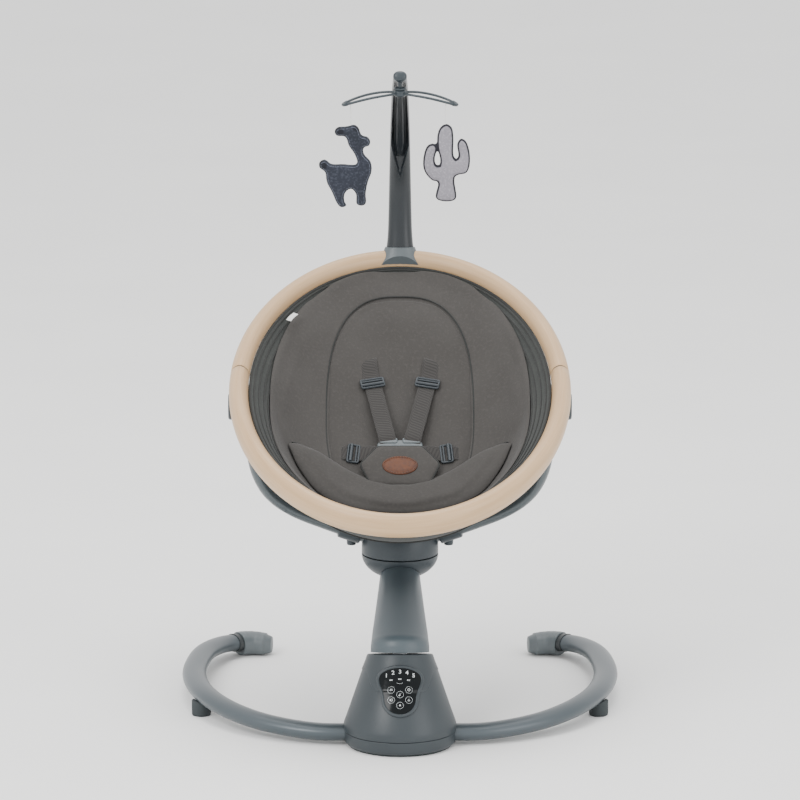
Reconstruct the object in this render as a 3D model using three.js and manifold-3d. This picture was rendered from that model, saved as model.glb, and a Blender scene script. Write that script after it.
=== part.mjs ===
// A baby swing: a pedestal on a C-shaped tube base turns a raised arm that
// carries an oval reclining seat, a five-point harness and a toy bar.
// Millimetres, +Z up. The origin is the centre of the pedestal's underside,
// the swing faces -Y, and the seat stands behind and above the pedestal.
import * as THREE from 'three';
import { mergeVertices } from 'three/addons/utils/BufferGeometryUtils.js';
import Module from 'manifold-3d';

const wasm = await Module();
wasm.setup();

// ---------------------------------------------------------------- dimensions
const GAP = 0.35; // running gap between neighbouring pieces
const FIT = 0.9; // room round a tube where a piece is shaped to it
const WALL = 2.5; // moulded wall thickness
const STEEL = 1.5; // tube wall thickness

const AXIS_LEAN = THREE.MathUtils.degToRad(13); // swing axis leans back
const PEDESTAL_R = 81;
const COLLAR_R = 46;
const COLUMN_R = 42;

const HUB = { y: 296, r: 56, low: 207, high: 257, bowlDepth: 37 };
const ARM = { thick: 10, wide: 18.5, endX: 214, top: 400 };
const PIVOT = { y: 297, z: 426.5 }; // recline axis, along X
const JOINT_R = 27;
const BUTTON_R = 19.5;

const RING = {
  centre: new THREE.Vector3(0, 254, 460),
  tilt: THREE.MathUtils.degToRad(22),
  a: 234, // half width of the centreline
  b: 334, // half length of the centreline
  across: 14, // half section, in the plane of the ring
  tall: 18.7, // half section, square to the plane
  seam: 38, // where the two halves meet, along the length
};

const BASE_TUBE = { tall: 12.25, wide: 17.5 };
const FOOT_R = 14;
const FOOT_AT = { x: 288, y: 156 };
const GEAR = { module: 2, teeth: 30, pinionTeeth: 10, face: 8 };
const MOTOR = { r: 14, low: 22, high: 56 };
const SPINDLE_R = 10;

const SLATE = 0x565e63;
const DARK = 0x3b4349;
const GRAPHITE = 0x474d54;
const BEIGE = 0xcdbba6;
const FABRIC = 0x63615f;
const RUBBER = 0x2f3436;
const STEEL_GREY = 0x9a9fa2;

// ------------------------------------------------------------------- helpers
const vec = (x, y, z) => new THREE.Vector3(x, y, z);
const SWING_UP = vec(0, Math.sin(AXIS_LEAN), Math.cos(AXIS_LEAN));
const SWING_BACK = vec(0, Math.cos(AXIS_LEAN), -Math.sin(AXIS_LEAN));

const swing = new THREE.Group();
const leaning = new THREE.Group(); // local Z is the swing axis
leaning.rotation.x = -AXIS_LEAN;
const seat = new THREE.Group(); // local Z is square to the seat ring
seat.position.copy(RING.centre);
seat.rotation.x = RING.tilt;
swing.add(leaning, seat);

function finish(color, roughness = 0.5, metalness = 0) {
  return new THREE.MeshStandardMaterial({ color, roughness, metalness });
}

function part(name, geometry, material, parent = swing) {
  const mesh = new THREE.Mesh(geometry, material);
  mesh.name = name;
  parent.add(mesh);
  return mesh;
}

// Joins the shared points of a geometry and drops flat triangles.
function welded(geometry) {
  const bare = geometry.clone();
  bare.deleteAttribute('normal');
  bare.deleteAttribute('uv');
  const merged = mergeVertices(bare, 1e-4);
  const kept = [];
  for (let i = 0; i < merged.index.count; i += 3) {
    const [a, b, c] = [0, 1, 2].map((k) => merged.index.getX(i + k));
    if (a !== b && b !== c && c !== a) kept.push(a, b, c);
  }
  merged.setIndex(kept);
  return merged;
}

function toSolid(geometry) {
  const merged = welded(geometry);
  return new wasm.Manifold(new wasm.Mesh({
    numProp: 3,
    vertProperties: Float32Array.from(merged.attributes.position.array),
    triVerts: Uint32Array.from(merged.index.array),
  }));
}

function toGeometry(solid) {
  const mesh = solid.getMesh();
  const geometry = new THREE.BufferGeometry();
  geometry.setAttribute('position', new THREE.BufferAttribute(mesh.vertProperties, 3));
  geometry.setIndex(new THREE.BufferAttribute(mesh.triVerts, 1));
  return geometry;
}

function cut(geometry, ...tools) {
  let solid = toSolid(geometry);
  for (const tool of tools) solid = solid.subtract(toSolid(tool));
  return toGeometry(solid);
}

function join(geometry, ...others) {
  let solid = toSolid(geometry);
  for (const other of others) solid = solid.add(toSolid(other));
  return toGeometry(solid);
}

function overlap(geometry, ...others) {
  let solid = toSolid(geometry);
  for (const other of others) solid = solid.intersect(toSolid(other));
  return toGeometry(solid);
}

function moved(geometry, x = 0, y = 0, z = 0) {
  return geometry.translate(x, y, z);
}

function mirrored(geometry) {
  return toGeometry(toSolid(geometry).mirror([1, 0, 0]));
}

function volumeOf(positions, index) {
  const p = index.map((i) => positions[i]);
  let volume = 0;
  for (let i = 0; i < p.length; i += 3) {
    volume += p[i].dot(vec(0, 0, 0).crossVectors(p[i + 1], p[i + 2])) / 6;
  }
  return volume;
}

// A closed skin through rings of points. A looped loft joins its last ring
// to its first; any other is closed by a flat cap at each end.
function loft(rings, looped = false) {
  const count = rings[0].length;
  const positions = rings.flat();
  const index = [];
  const last = looped ? rings.length : rings.length - 1;
  for (let r = 0; r < last; r += 1) {
    const here = r * count;
    const next = ((r + 1) % rings.length) * count;
    for (let i = 0; i < count; i += 1) {
      const j = (i + 1) % count;
      index.push(here + i, here + j, next + i, here + j, next + j, next + i);
    }
  }
  if (!looped) {
    const end = (rings.length - 1) * count;
    for (let i = 1; i < count - 1; i += 1) {
      index.push(0, i + 1, i, end, end + i, end + i + 1);
    }
  }
  if (volumeOf(positions, index) < 0) index.reverse();
  const geometry = new THREE.BufferGeometry();
  const flat = Float32Array.from(positions.flatMap((p) => [p.x, p.y, p.z]));
  geometry.setAttribute('position', new THREE.BufferAttribute(flat, 3));
  geometry.setIndex(index);
  return geometry;
}

// Points of an oval round a centre, in the plane of two unit directions.
function ovalRing(centre, u, v, a, b, count) {
  return Array.from({ length: count }, (_, i) => {
    const angle = (i / count) * Math.PI * 2;
    return centre.clone()
      .addScaledVector(u, a * Math.cos(angle))
      .addScaledVector(v, b * Math.sin(angle));
  });
}

function ovalShape(a, b, wall = 0) {
  const shape = new THREE.Shape();
  shape.absellipse(0, 0, a, b, 0, Math.PI * 2);
  if (wall > 0) {
    const hole = new THREE.Path();
    hole.absellipse(0, 0, a - wall, b - wall, 0, Math.PI * 2);
    shape.holes.push(hole);
  }
  return shape;
}

function sweep(curve, shape, steps, sides) {
  return new THREE.ExtrudeGeometry(shape, {
    steps, curveSegments: sides, extrudePath: curve, bevelEnabled: false,
  });
}

// A turned piece about Z from [radius, height] pairs.
function turned(profile, sides = 32, closedLoop = false) {
  const points = profile.map(([r, z]) => new THREE.Vector2(r, z));
  if (closedLoop) points.push(points[0].clone());
  const geometry = new THREE.LatheGeometry(points, sides).rotateX(Math.PI / 2);
  const merged = welded(geometry);
  const flat = merged.attributes.position;
  const corners = Array.from({ length: flat.count },
    (_, i) => vec(0, 0, 0).fromBufferAttribute(flat, i));
  const index = Array.from(merged.index.array);
  if (volumeOf(corners, index) < 0) merged.setIndex(index.reverse());
  return merged;
}

function slab(outline, thickness, sides = 6) {
  return new THREE.ExtrudeGeometry(outline, {
    depth: thickness, bevelEnabled: false, curveSegments: sides,
  });
}

// ------------------------------------------------------------- swinging frame
// Points on a plane through the swing axis: `back` is the distance behind the
// axis and `up` the height along it.
const onAxisPlane = (back, up) => vec(0, 0, 0)
  .addScaledVector(SWING_BACK, back)
  .addScaledVector(SWING_UP, up);

// ------------------------------------------------------------------ base tubes
const TUBE_ROUTE = [
  [56, 0, 17], [80, 0, 17], [118, 3, 17], [163, 19, 19], [207, 47, 22],
  [250, 96, 26], [283, 165, 29], [300, 258, 29], [298, 345, 28.5],
  [284, 425, 26], [256, 484, 21], [225, 503, 18], [200, 500, 17.5],
];

function tubeRoute(side) {
  return new THREE.CatmullRomCurve3(
    TUBE_ROUTE.map(([x, y, z]) => vec(side * x, y, z)), false, 'centripetal');
}

// The stretch of a curve between two fractions of its length.
function stretch(curve, from, to, count = 12) {
  const points = Array.from({ length: count },
    (_, i) => curve.getPointAt(from + (to - from) * (i / (count - 1))));
  return new THREE.CatmullRomCurve3(points, false, 'centripetal');
}

const CAP_FROM = 0.93; // the end cap covers the last part of the tube

function baseTube(side) {
  const route = stretch(tubeRoute(side), 0.003, CAP_FROM - 0.002, 21);
  return sweep(route, ovalShape(BASE_TUBE.tall, BASE_TUBE.wide, STEEL), 24, 5);
}

function endCap(side) {
  const route = tubeRoute(side);
  const rings = [];
  const radii = [[0, 1], [0.25, 1.02], [0.5, 1.02], [0.75, 0.98], [0.92, 0.8], [1, 0.45]];
  const up = vec(0, 0, 1);
  for (const [k, grow] of radii) {
    const along = CAP_FROM + 0.006 + k * (0.994 - CAP_FROM);
    const reach = k * k * 10;
    const tangent = route.getTangentAt(along).setZ(0).normalize();
    const centre = route.getPointAt(along).addScaledVector(tangent, reach);
    const across = vec(0, 0, 0).crossVectors(up, tangent);
    const top = 34.5 - 4 * k * k;
    centre.z = top / 2;
    rings.push(ovalRing(centre, across, up, 20.5 * grow, (top / 2) * (0.6 + 0.4 * grow), 14));
  }
  const spigot = sweep(stretch(route, CAP_FROM - 0.014, CAP_FROM + 0.01, 4),
    ovalShape(BASE_TUBE.tall - STEEL - 5, BASE_TUBE.wide - STEEL - 7), 3, 5);
  return join(loft(rings), spigot);
}

function tubeFoot(side) {
  const route = tubeRoute(side);
  const pad = turned([[0, 0], [12.5, 0], [FOOT_R, 2], [FOOT_R, 24], [0, 24]], 20);
  moved(pad, side * FOOT_AT.x, FOOT_AT.y, 0);
  const tube = sweep(stretch(route, 0.35, 0.6, 8),
    ovalShape(BASE_TUBE.tall + FIT, BASE_TUBE.wide + FIT), 6, 5);
  const above = moved(new THREE.BoxGeometry(60, 60, 40), side * FOOT_AT.x, FOOT_AT.y, 46);
  return cut(pad, tube, above);
}

for (const [word, side] of [['left', -1], ['right', 1]]) {
  part(`${word}_base_tube`, baseTube(side), finish(SLATE, 0.35, 0.6));
  part(`${word}_end_cap`, endCap(side), finish(SLATE, 0.55));
  part(`${word}_foot`, tubeFoot(side), finish(RUBBER, 0.9));
}

// -------------------------------------------------------------------- pedestal
// Rings of the pedestal: height along the axis of each ring's own centre,
// radius, and how far the ring has tipped from level towards the swing axis.
const PEDESTAL_RINGS = [
  [12.4, 79.5, 0], [20, 81, 0], [30, PEDESTAL_R, 0], [40, 77.5, 0.15],
  [60, 70.5, 0.4], [80, 63.5, 0.7], [100, 56.5, 0.95], [107, 54, 1], [118, 49.5, 1],
];

function pedestalRings(inset, low, high) {
  return PEDESTAL_RINGS.map(([up, r, lean]) => {
    const height = THREE.MathUtils.clamp(up, low, high);
    const angle = AXIS_LEAN * lean;
    const centre = SWING_UP.clone().multiplyScalar(height);
    centre.y *= lean;
    centre.z = lean < 1 ? THREE.MathUtils.lerp(height, centre.z, lean) : centre.z;
    const back = vec(0, Math.cos(angle), -Math.sin(angle));
    return ovalRing(centre, vec(1, 0, 0), back, r - inset, r - inset, 20);
  });
}

function panelOutline(grow = 0) {
  const shape = new THREE.Shape();
  const g = grow;
  shape.moveTo(0, 34 + g);
  shape.bezierCurveTo(12, 34 + g, 25, 31 + g, 28 + g, 25);
  shape.bezierCurveTo(33 + g, 16, 24 + g, 2, 22.5 + g, -10);
  shape.bezierCurveTo(22.5 + g, -27 - g, 12, -36 - g, 0, -36 - g);
  shape.bezierCurveTo(-12, -36 - g, -22.5 - g, -27 - g, -22.5 - g, -10);
  shape.bezierCurveTo(-24 - g, 2, -33 - g, 16, -28 - g, 25);
  shape.bezierCurveTo(-25, 31 + g, -12, 34 + g, 0, 34 + g);
  return shape;
}

// The panel faces forward and up, square to the pedestal's front slope.
const PANEL_UP = onAxisPlane(0.334, 0.943);
const PANEL_OUT = onAxisPlane(-0.943, 0.334);
const PANEL_AT = onAxisPlane(-63.5, 76.5);

function onPanel(geometry) {
  const across = vec(0, 0, 0).crossVectors(PANEL_UP, PANEL_OUT);
  const frame = new THREE.Matrix4().makeBasis(across, PANEL_UP, PANEL_OUT);
  frame.setPosition(PANEL_AT);
  return geometry.applyMatrix4(frame);
}

const panelBlock = (grow) => onPanel(moved(slab(panelOutline(grow), 60, 5), 0, 0, -30));
const pedestalOuter = loft(pedestalRings(0, 12.4, 118));
const pedestalInner = loft(pedestalRings(WALL, 10, 118 - WALL));
const baseTubeSpace = (side) => sweep(stretch(tubeRoute(side), 0, 0.3, 8),
  ovalShape(BASE_TUBE.tall + 2 * FIT, BASE_TUBE.wide + 2 * FIT), 6, 5);
const inletSpace = (grow) => moved(
  new THREE.BoxGeometry(16 + grow, 15 + grow, 12 + grow), 0, 74.5, 21);
const axisBore = (r) => turned([[0, 0], [r, 0], [r, 200], [0, 200]], 24)
  .rotateX(-AXIS_LEAN);

part('pedestal_shell', cut(pedestalOuter, pedestalInner, panelBlock(GAP),
  baseTubeSpace(-1), baseTubeSpace(1), inletSpace(2 * GAP), axisBore(16)),
finish(SLATE, 0.45));

const panelShell = cut(loft(pedestalRings(-1.2, 12, 119)), loft(pedestalRings(3.2, 12, 119)));
part('control_panel', overlap(panelShell, panelBlock(0)), finish(0x10191c, 0.15));

const boardPlate = onPanel(moved(new THREE.BoxGeometry(40, 52, 1.6), 0, -2, -13));
part('control_board', boardPlate, finish(0x1f4a33, 0.6));

part('pedestal_collar', turned([
  [16, 118.4], [49.2, 118.4], [COLLAR_R, 128.6], [16, 128.6],
], 36, true), finish(SLATE, 0.45), leaning);

part('base_plate', cut(turned([
  [0, 3], [78, 3], [79.5, 5], [79.5, 12], [77, 12], [77, 6], [0, 6],
], 36), baseTubeSpace(-1), baseTubeSpace(1)), finish(DARK, 0.6));

part('pedestal_pad', turned([
  [0, 0], [74, 0], [75, 2.65], [0, 2.65],
], 36), finish(RUBBER, 0.9));

// -------------------------------------------------------------- drive mechanism
const towerTube = turned([[0, -10], [19, -10], [19, 57], [0, 57]], 24).rotateX(-AXIS_LEAN);
const towerFlange = turned([[0, 6.35], [30, 6.35], [30, 11], [0, 11]], 24);
const belowFloor = moved(new THREE.BoxGeometry(200, 200, 60), 0, 0, -30 + 6.35);
const towerBore = turned([[0, 24], [SPINDLE_R + GAP, 24], [SPINDLE_R + GAP, 44],
  [16, 44], [16, 60], [0, 60]], 24).rotateX(-AXIS_LEAN);
part('bearing_housing', cut(join(towerTube, towerFlange), belowFloor, towerBore),
  finish(DARK, 0.5));

const bearing = (low) => turned([
  [SPINDLE_R + GAP, low], [15.6, low], [15.6, low + 8], [SPINDLE_R + GAP, low + 8],
], 24, true);
part('lower_bearing', bearing(44.5), finish(STEEL_GREY, 0.3, 0.9), leaning);
part('upper_bearing', bearing(119.5), finish(STEEL_GREY, 0.3, 0.9), leaning);

part('swing_spindle', turned([
  [0, 26], [SPINDLE_R, 26], [SPINDLE_R, 131.5], [37.5, 131.5], [37.5, 135.5], [0, 135.5],
], 24), finish(STEEL_GREY, 0.35, 0.9), leaning);

// A spur gear with straight-sided teeth and working backlash.
function gearShape(teeth, turn, bore) {
  const pitch = (GEAR.module * teeth) / 2;
  const step = (Math.PI * 2) / teeth;
  const shape = new THREE.Shape();
  const tooth = [[-0.34, -1.8], [-0.2, 1.35], [0.2, 1.35], [0.34, -1.8]];
  const points = [];
  for (let i = 0; i < teeth; i += 1) {
    for (const [across, out] of tooth) {
      const angle = turn + i * step + (across * 0.62 * step);
      points.push(new THREE.Vector2(Math.cos(angle), Math.sin(angle))
        .multiplyScalar(pitch + out));
    }
  }
  shape.setFromPoints(points);
  const hole = new THREE.Path();
  if (bore > 0) {
    hole.absarc(0, 0, bore, 0, Math.PI * 2);
    shape.holes.push(hole);
  }
  return shape;
}

const PINION_BACK = (GEAR.module * (GEAR.teeth + GEAR.pinionTeeth)) / 2;
const GEAR_LOW = 60;
const gearTurn = Math.PI / 2 - Math.PI / GEAR.teeth;
part('drive_gear', moved(slab(gearShape(GEAR.teeth, gearTurn, SPINDLE_R + 0.6),
  GEAR.face, 8), 0, 0, GEAR_LOW), finish(0xd8d4c8, 0.5), leaning);

const pinionGear = moved(slab(gearShape(GEAR.pinionTeeth, -Math.PI / 2, 0),
  GEAR.face + 1, 5), 0, 0, GEAR_LOW - 0.5);
const pinionShaft = turned([[0, 44], [2.5, 44], [2.5, 72], [0, 72]], 14);
part('motor_pinion', moved(join(pinionGear, pinionShaft), 0, PINION_BACK, 0),
  finish(0xd8d4c8, 0.5), leaning);

part('drive_motor', moved(turned([
  [0, MOTOR.low], [MOTOR.r, MOTOR.low], [MOTOR.r, MOTOR.high - 3], [6, MOTOR.high - 3],
  [6, MOTOR.high], [2.85, MOTOR.high], [2.85, 43], [0, 43],
], 22), 0, PINION_BACK, 0), finish(STEEL_GREY, 0.4, 0.8), leaning);

part('speaker', moved(turned([
  [0, 6.4], [18, 6.4], [20, 9], [12, 16], [12, 21], [0, 21],
], 22), 0, -53, 0), finish(0x202426, 0.7));

const jack = moved(new THREE.CylinderGeometry(2.9, 2.9, 12, 14), 0, 77.5, 21);
part('power_inlet', cut(inletSpace(0), jack), finish(0x202426, 0.5));

// ---------------------------------------------------------------------- column
// Each ring of the column is an oval between its upper-front point and its
// lower-rear point, both given as [behind the axis, up the axis].
const COLUMN_RINGS = [
  [[-42, 130.4], [42, 130.4], COLUMN_R], [[-41.6, 141], [42.6, 131.6], 42],
  [[-38.5, 149], [43.8, 132.8], 41.8], [[-31, 155], [46, 134.4], 41.4],
  [[-16, 161], [51, 137], 40.8], [[8, 170.5], [60, 141.5], 40],
  [[40, 184], [78, 149], 38.4], [[85, 203], [112, 163], 36],
  [[140, 227], [158, 183], 33], [[195, 251], [206, 203.5], 30], [[236, 263], [240, 217], 28.5],
];
const COLUMN_TIP = [[[256, 260], [262, 228], 25], [[266, 252], [272, 238], 16]];

function columnRings(inset, rows) {
  return rows.map(([top, bottom, halfWidth]) => {
    const high = onAxisPlane(top[0], top[1]);
    const low = onAxisPlane(bottom[0], bottom[1]);
    const centre = high.clone().add(low).multiplyScalar(0.5);
    const v = high.clone().sub(low);
    const b = v.length() / 2 - inset;
    return ovalRing(centre, vec(1, 0, 0), v.normalize(), halfWidth - inset, b, 16);
  });
}

const BOWL_STEPS = 5;
const HUB_SIDES = 20;

function hubBowl(grow, depth = HUB.bowlDepth) {
  const profile = [[0, HUB.low - depth - grow]];
  for (let k = 1; k <= BOWL_STEPS; k += 1) {
    const angle = (k / BOWL_STEPS) * (Math.PI / 2);
    profile.push([(HUB.r + grow) * Math.sin(angle), HUB.low - (depth + grow) * Math.cos(angle)]);
  }
  return profile;
}

function solidBowl(grow) {
  const profile = hubBowl(grow);
  const top = HUB.low + 60;
  return moved(turned([...profile, [HUB.r + grow, top], [0, top]], HUB_SIDES), 0, HUB.y, 0);
}

const columnHollow = [[[-42, 126], [42, 126], COLUMN_R], ...COLUMN_RINGS.slice(1)];
part('column_shell', cut(
  loft(columnRings(0, [...COLUMN_RINGS, ...COLUMN_TIP])),
  loft(columnRings(WALL, columnHollow)),
  solidBowl(GAP)), finish(SLATE, 0.4));

// ------------------------------------------------------------------------- hub
part('hub_bowl', cut(
  moved(turned([...hubBowl(0), [0, HUB.low]], HUB_SIDES), 0, HUB.y, 0),
  moved(turned([...hubBowl(-WALL), [HUB.r - WALL, HUB.low + 5], [0, HUB.low + 5]], HUB_SIDES),
    0, HUB.y, 0)), finish(DARK, 0.45));

// The U-shaped arm: a straight stretch out of the hub, then a bend upright.
function armRoute(side, from = 47) {
  const rise = 0.335;
  const start = vec(side * from, HUB.y, 245 - (85 - from) * rise);
  const straight = new THREE.LineCurve3(start, vec(side * 92, HUB.y, 245 + 7 * rise));
  const bend = new THREE.CatmullRomCurve3([
    [92, 247.3], [114.4, 255.6], [137, 264.2], [156, 273], [176, 285.5], [192, 300.8],
    [204, 321], [211.5, 345], [ARM.endX, 368], [ARM.endX, ARM.top],
  ].map(([x, z]) => vec(side * x, HUB.y, z)), false, 'centripetal');
  const route = new THREE.CurvePath();
  route.add(straight);
  route.add(bend);
  return route;
}

const armSpace = (side) => sweep(armRoute(side, 30),
  ovalShape(ARM.wide + FIT, ARM.thick + FIT), 18, 5);

const housing = moved(turned([
  [0, HUB.low + 0.4], [HUB.r, HUB.low + 0.4], [HUB.r, HUB.high - 4],
  [HUB.r - 3, HUB.high], [0, HUB.high],
], HUB_SIDES), 0, HUB.y, 0);
const housingRoom = moved(turned([
  [0, HUB.low - 5], [HUB.r - WALL, HUB.low - 5], [HUB.r - WALL, HUB.high - 5],
  [HUB.r - 5, HUB.high - WALL], [0, HUB.high - WALL],
], HUB_SIDES), 0, HUB.y, 0);
part('hub_housing', cut(housing, housingRoom, armSpace(-1), armSpace(1)), finish(DARK, 0.45));

function armClamp(side) {
  const route = new THREE.LineCurve3(
    vec(side * 57, HUB.y, 245 - 28 * 0.335), vec(side * 88, HUB.y, 245 + 3 * 0.335));
  const sleeve = sweep(route, ovalShape(ARM.wide + 4, ARM.thick + 3.5), 1, 6);
  const stud = (x, z) => moved(new THREE.CylinderGeometry(5, 5, 12, 10).rotateX(Math.PI / 2),
    side * x, HUB.y, z);
  const lug = moved(new THREE.BoxGeometry(12, 16, 8), side * 70, HUB.y, 226.5);
  return cut(join(sleeve, stud(66, 248.5), stud(80, 253), lug), armSpace(side),
    moved(turned([[0, 200], [HUB.r + 0.6, 200], [HUB.r + 0.6, 300], [0, 300]], HUB_SIDES),
      0, HUB.y, 0));
}

// ------------------------------------------------------------- recline joints
const disc = (r, from, to, sides = 28) => {
  const geometry = turned([[0, from], [r, from], [r, to], [0, to]], sides);
  return geometry.rotateY(Math.PI / 2);
};
const atPivot = (geometry) => moved(geometry, 0, PIVOT.y, PIVOT.z);

function reclineHousing() {
  const body = atPivot(disc(JOINT_R, 212.3, 240));
  const rings = [[385, 16.5, 25], [388.5, 16.5, 25], [390, 14.5, 22.5], [401.5, 14, 22]]
    .map(([z, a, b]) => ovalRing(
      vec(ARM.endX, HUB.y, z), vec(1, 0, 0), vec(0, 1, 0), a, b, 18));
  const recess = atPivot(disc(BUTTON_R + GAP + 0.2, 228, 250));
  const pinBore = atPivot(disc(6 + GAP, 200, 224, 16));
  return cut(join(body, loft(rings)), armSpace(1), recess, pinBore);
}

const reclineButton = atPivot(turned([
  [0, 232], [BUTTON_R, 232], [BUTTON_R, 248], [BUTTON_R - 2, 250], [0, 250],
], 28).rotateY(Math.PI / 2));

// ------------------------------------------------------------------ seat ring
class RingArc extends THREE.Curve {
  constructor(from, to) {
    super();
    this.from = from;
    this.to = to;
  }

  getPoint(t, target = vec(0, 0, 0)) {
    const angle = this.from + (this.to - this.from) * t;
    return target.set(RING.a * Math.cos(angle), RING.b * Math.sin(angle), 0);
  }
}

const SEAM_ANGLE = Math.asin(RING.seam / RING.b);
const SEAM_GAP = 0.002; // radians left open at each seam
const ringTube = (from, to, grow = 0, wall = 0) => sweep(new RingArc(from, to),
  ovalShape(RING.tall + grow, RING.across + grow, wall), 18, 5);

part('lower_ring', ringTube(Math.PI - SEAM_ANGLE + SEAM_GAP,
  Math.PI * 2 + SEAM_ANGLE - SEAM_GAP, 0, WALL), finish(BEIGE, 0.45), seat);

// ------------------------------------------------------------ seat bowl surface
// Levels of the bowl from rim to bottom: depth below the ring plane, half
// width, and how far it reaches towards the back and the front.
const BOWL = [
  [0, 219.5, 319.5, -319.5], [5, 212.5, 317, -316], [11, 205, 311, -311],
  [19, 197.5, 299, -305.5], [30, 192.5, 281, -299], [45, 187, 247, -290],
  [65, 178, 196, -276], [85, 165, 143, -257], [105, 144, 82, -231],
  [122, 112, 12, -195], [133, 72, -50, -150], [138, 0, -104, -104],
];
const BOWL_BACK = -104; // where the bottom lies along the seat

function shifted(profile, inset) {
  return profile.map(([r, h], i) => {
    const [r0, h0] = profile[Math.max(i - 1, 0)];
    const [r1, h1] = profile[Math.min(i + 1, profile.length - 1)];
    const run = Math.hypot(r1 - r0, h1 - h0);
    const last = i === profile.length - 1;
    const across = last ? 0 : (h1 - h0) / run;
    const down = last ? 1 : (r0 - r1) / run;
    return [r - across * inset, h - down * inset];
  });
}

// The bowl's skin moved inwards by `inset`, as rings from the rim down.
function bowlRings(inset, count = 20) {
  const sides = shifted(BOWL.map(([h, a]) => [a, h]), inset);
  const back = shifted(BOWL.map(([h, , b]) => [b - BOWL_BACK, h]), inset);
  const front = shifted(BOWL.map(([h, , , f]) => [BOWL_BACK - f, h]), inset);
  return BOWL.map((_, i) => Array.from({ length: count }, (__, k) => {
    const angle = (k / count) * Math.PI * 2;
    const [c, s] = [Math.cos(angle), Math.sin(angle)];
    const high = back[i][0] + BOWL_BACK;
    const low = BOWL_BACK - front[i][0];
    const y = (high + low) / 2 + ((high - low) / 2) * s;
    const end = s > 0 ? back[i][1] : front[i][1];
    return vec(sides[i][0] * c, y, -(sides[i][1] * c * c + end * s * s));
  }));
}

// A solid that fills the bowl, closed `above` the ring plane.
function bowlSolid(inset, above = 0) {
  const rings = bowlRings(inset);
  const rim = rings[0].map((p) => vec(p.x, p.y, Math.max(p.z, 0) + above));
  const bottom = rings[rings.length - 1];
  const centre = bottom.reduce((sum, p) => sum.add(p), vec(0, 0, 0))
    .divideScalar(bottom.length);
  rings[rings.length - 1] = bottom.map((p) => centre.clone().lerp(p, 0.02));
  return loft(above > 0 ? [rim, ...rings] : rings);
}

function ovalPrism(a, back, front, low, high, sides = 24) {
  const shape = new THREE.Shape();
  shape.absellipse(0, (back + front) / 2, a, (back - front) / 2, 0, Math.PI * 2);
  return moved(slab(shape, high - low, sides / 2), 0, 0, low);
}

function prism(corners, low = -160, high = 30) {
  const shape = new THREE.Shape(corners.map(([x, y]) => new THREE.Vector2(x, y)));
  return moved(slab(shape, high - low), 0, 0, low);
}

const topTrim = (z) => moved(new THREE.BoxGeometry(600, 800, 60), 0, 0, z + 30);

part('seat_bucket', cut(bowlSolid(1.2), bowlSolid(1.2 + WALL, 8)), finish(0x50524f, 0.9), seat);

const PAD = { skin: 4.2, face: 19.5, a: 189, back: 309, front: -295, wall: 17 };
const padOuter = overlap(bowlSolid(PAD.skin, 20), ovalPrism(PAD.a, PAD.back, PAD.front, -170, 30));
const padRoom = overlap(bowlSolid(PAD.face, 40),
  ovalPrism(PAD.a - PAD.wall, PAD.back - PAD.wall, PAD.front + PAD.wall, -170, 60));
part('seat_pad', cut(padOuter, padRoom, topTrim(-5)), finish(FABRIC, 0.95), seat);

// A sheet lying on the bowl between two insets, trimmed to an outline.
function bowlSheet(inner, outer, outline) {
  return overlap(cut(bowlSolid(outer, 20), bowlSolid(inner, 40)), outline, padRoom);
}

const INLAY = { low: 20.2, high: 29, a: 106, back: 262, front: -190 };
part('newborn_inlay', bowlSheet(INLAY.high, INLAY.low,
  ovalPrism(INLAY.a, INLAY.back, INLAY.front, -170, 40)), finish(0x595755, 0.95), seat);

// --------------------------------------------------------------------- harness
const STRAP_FACE = [31.6, 29.4]; // insets of a strap's two faces
const WEBBING = 25;

function shoulderStrap(side) {
  const slant = 0.22;
  const corner = (x, y) => [side * x, y];
  const [lowX, highX, lowY, highY] = [17, 53, -6, 156];
  const half = WEBBING / 2;
  return bowlSheet(STRAP_FACE[0], STRAP_FACE[1], prism([
    corner(lowX - half, lowY), corner(lowX + half, lowY - half * slant),
    corner(highX + half, highY - half * slant), corner(highX - half, highY),
  ]));
}

function strapAdjuster(side) {
  const [x, y, a, b] = [side * 43, 112, 17, 7];
  return bowlSheet(35.5, 32, prism([[x - a, y - b], [x + a, y - b], [x + a, y + b], [x - a, y + b]]));
}

function waistStrap(side) {
  return bowlSheet(STRAP_FACE[0], STRAP_FACE[1],
    prism([[side * 34.5, -43], [side * 84, -32], [side * 84, -10], [side * 34.5, -18]]));
}

// Depth of the bowl's skin, moved in by `inset`, on the centre line.
function depthAt(y, inset) {
  const rings = bowlRings(inset, 4);
  const line = rings.map((ring) => ring[1]);
  for (let i = 1; i < line.length; i += 1) {
    if (line[i].y <= y) {
      const k = (line[i - 1].y - y) / (line[i - 1].y - line[i].y);
      return THREE.MathUtils.lerp(line[i - 1].z, line[i].z, k);
    }
  }
  return line[line.length - 1].z;
}

const CROTCH = { top: -20, bottom: -96 };
const crotchTopZ = depthAt(CROTCH.top, 40);
const crotchLowZ = depthAt(CROTCH.bottom, 31);
const crotchSlope = Math.atan2(crotchTopZ - crotchLowZ, CROTCH.top - CROTCH.bottom);

// Places a piece drawn flat, with +Y up the seat, on the harness's slope.
function onCrotch(geometry, y, out) {
  const k = (y - CROTCH.bottom) / (CROTCH.top - CROTCH.bottom);
  geometry.rotateX(crotchSlope);
  const z = THREE.MathUtils.lerp(crotchLowZ, crotchTopZ, k);
  return moved(geometry, 0, y - out * Math.sin(crotchSlope), z + out * Math.cos(crotchSlope));
}

function crotchOutline() {
  const corners = [[-32, 35], [32, 35], [54, 2], [42, -34], [-42, -34], [-54, 2]];
  return new THREE.Shape(corners.map(([x, y]) => new THREE.Vector2(x, y)));
}

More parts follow.
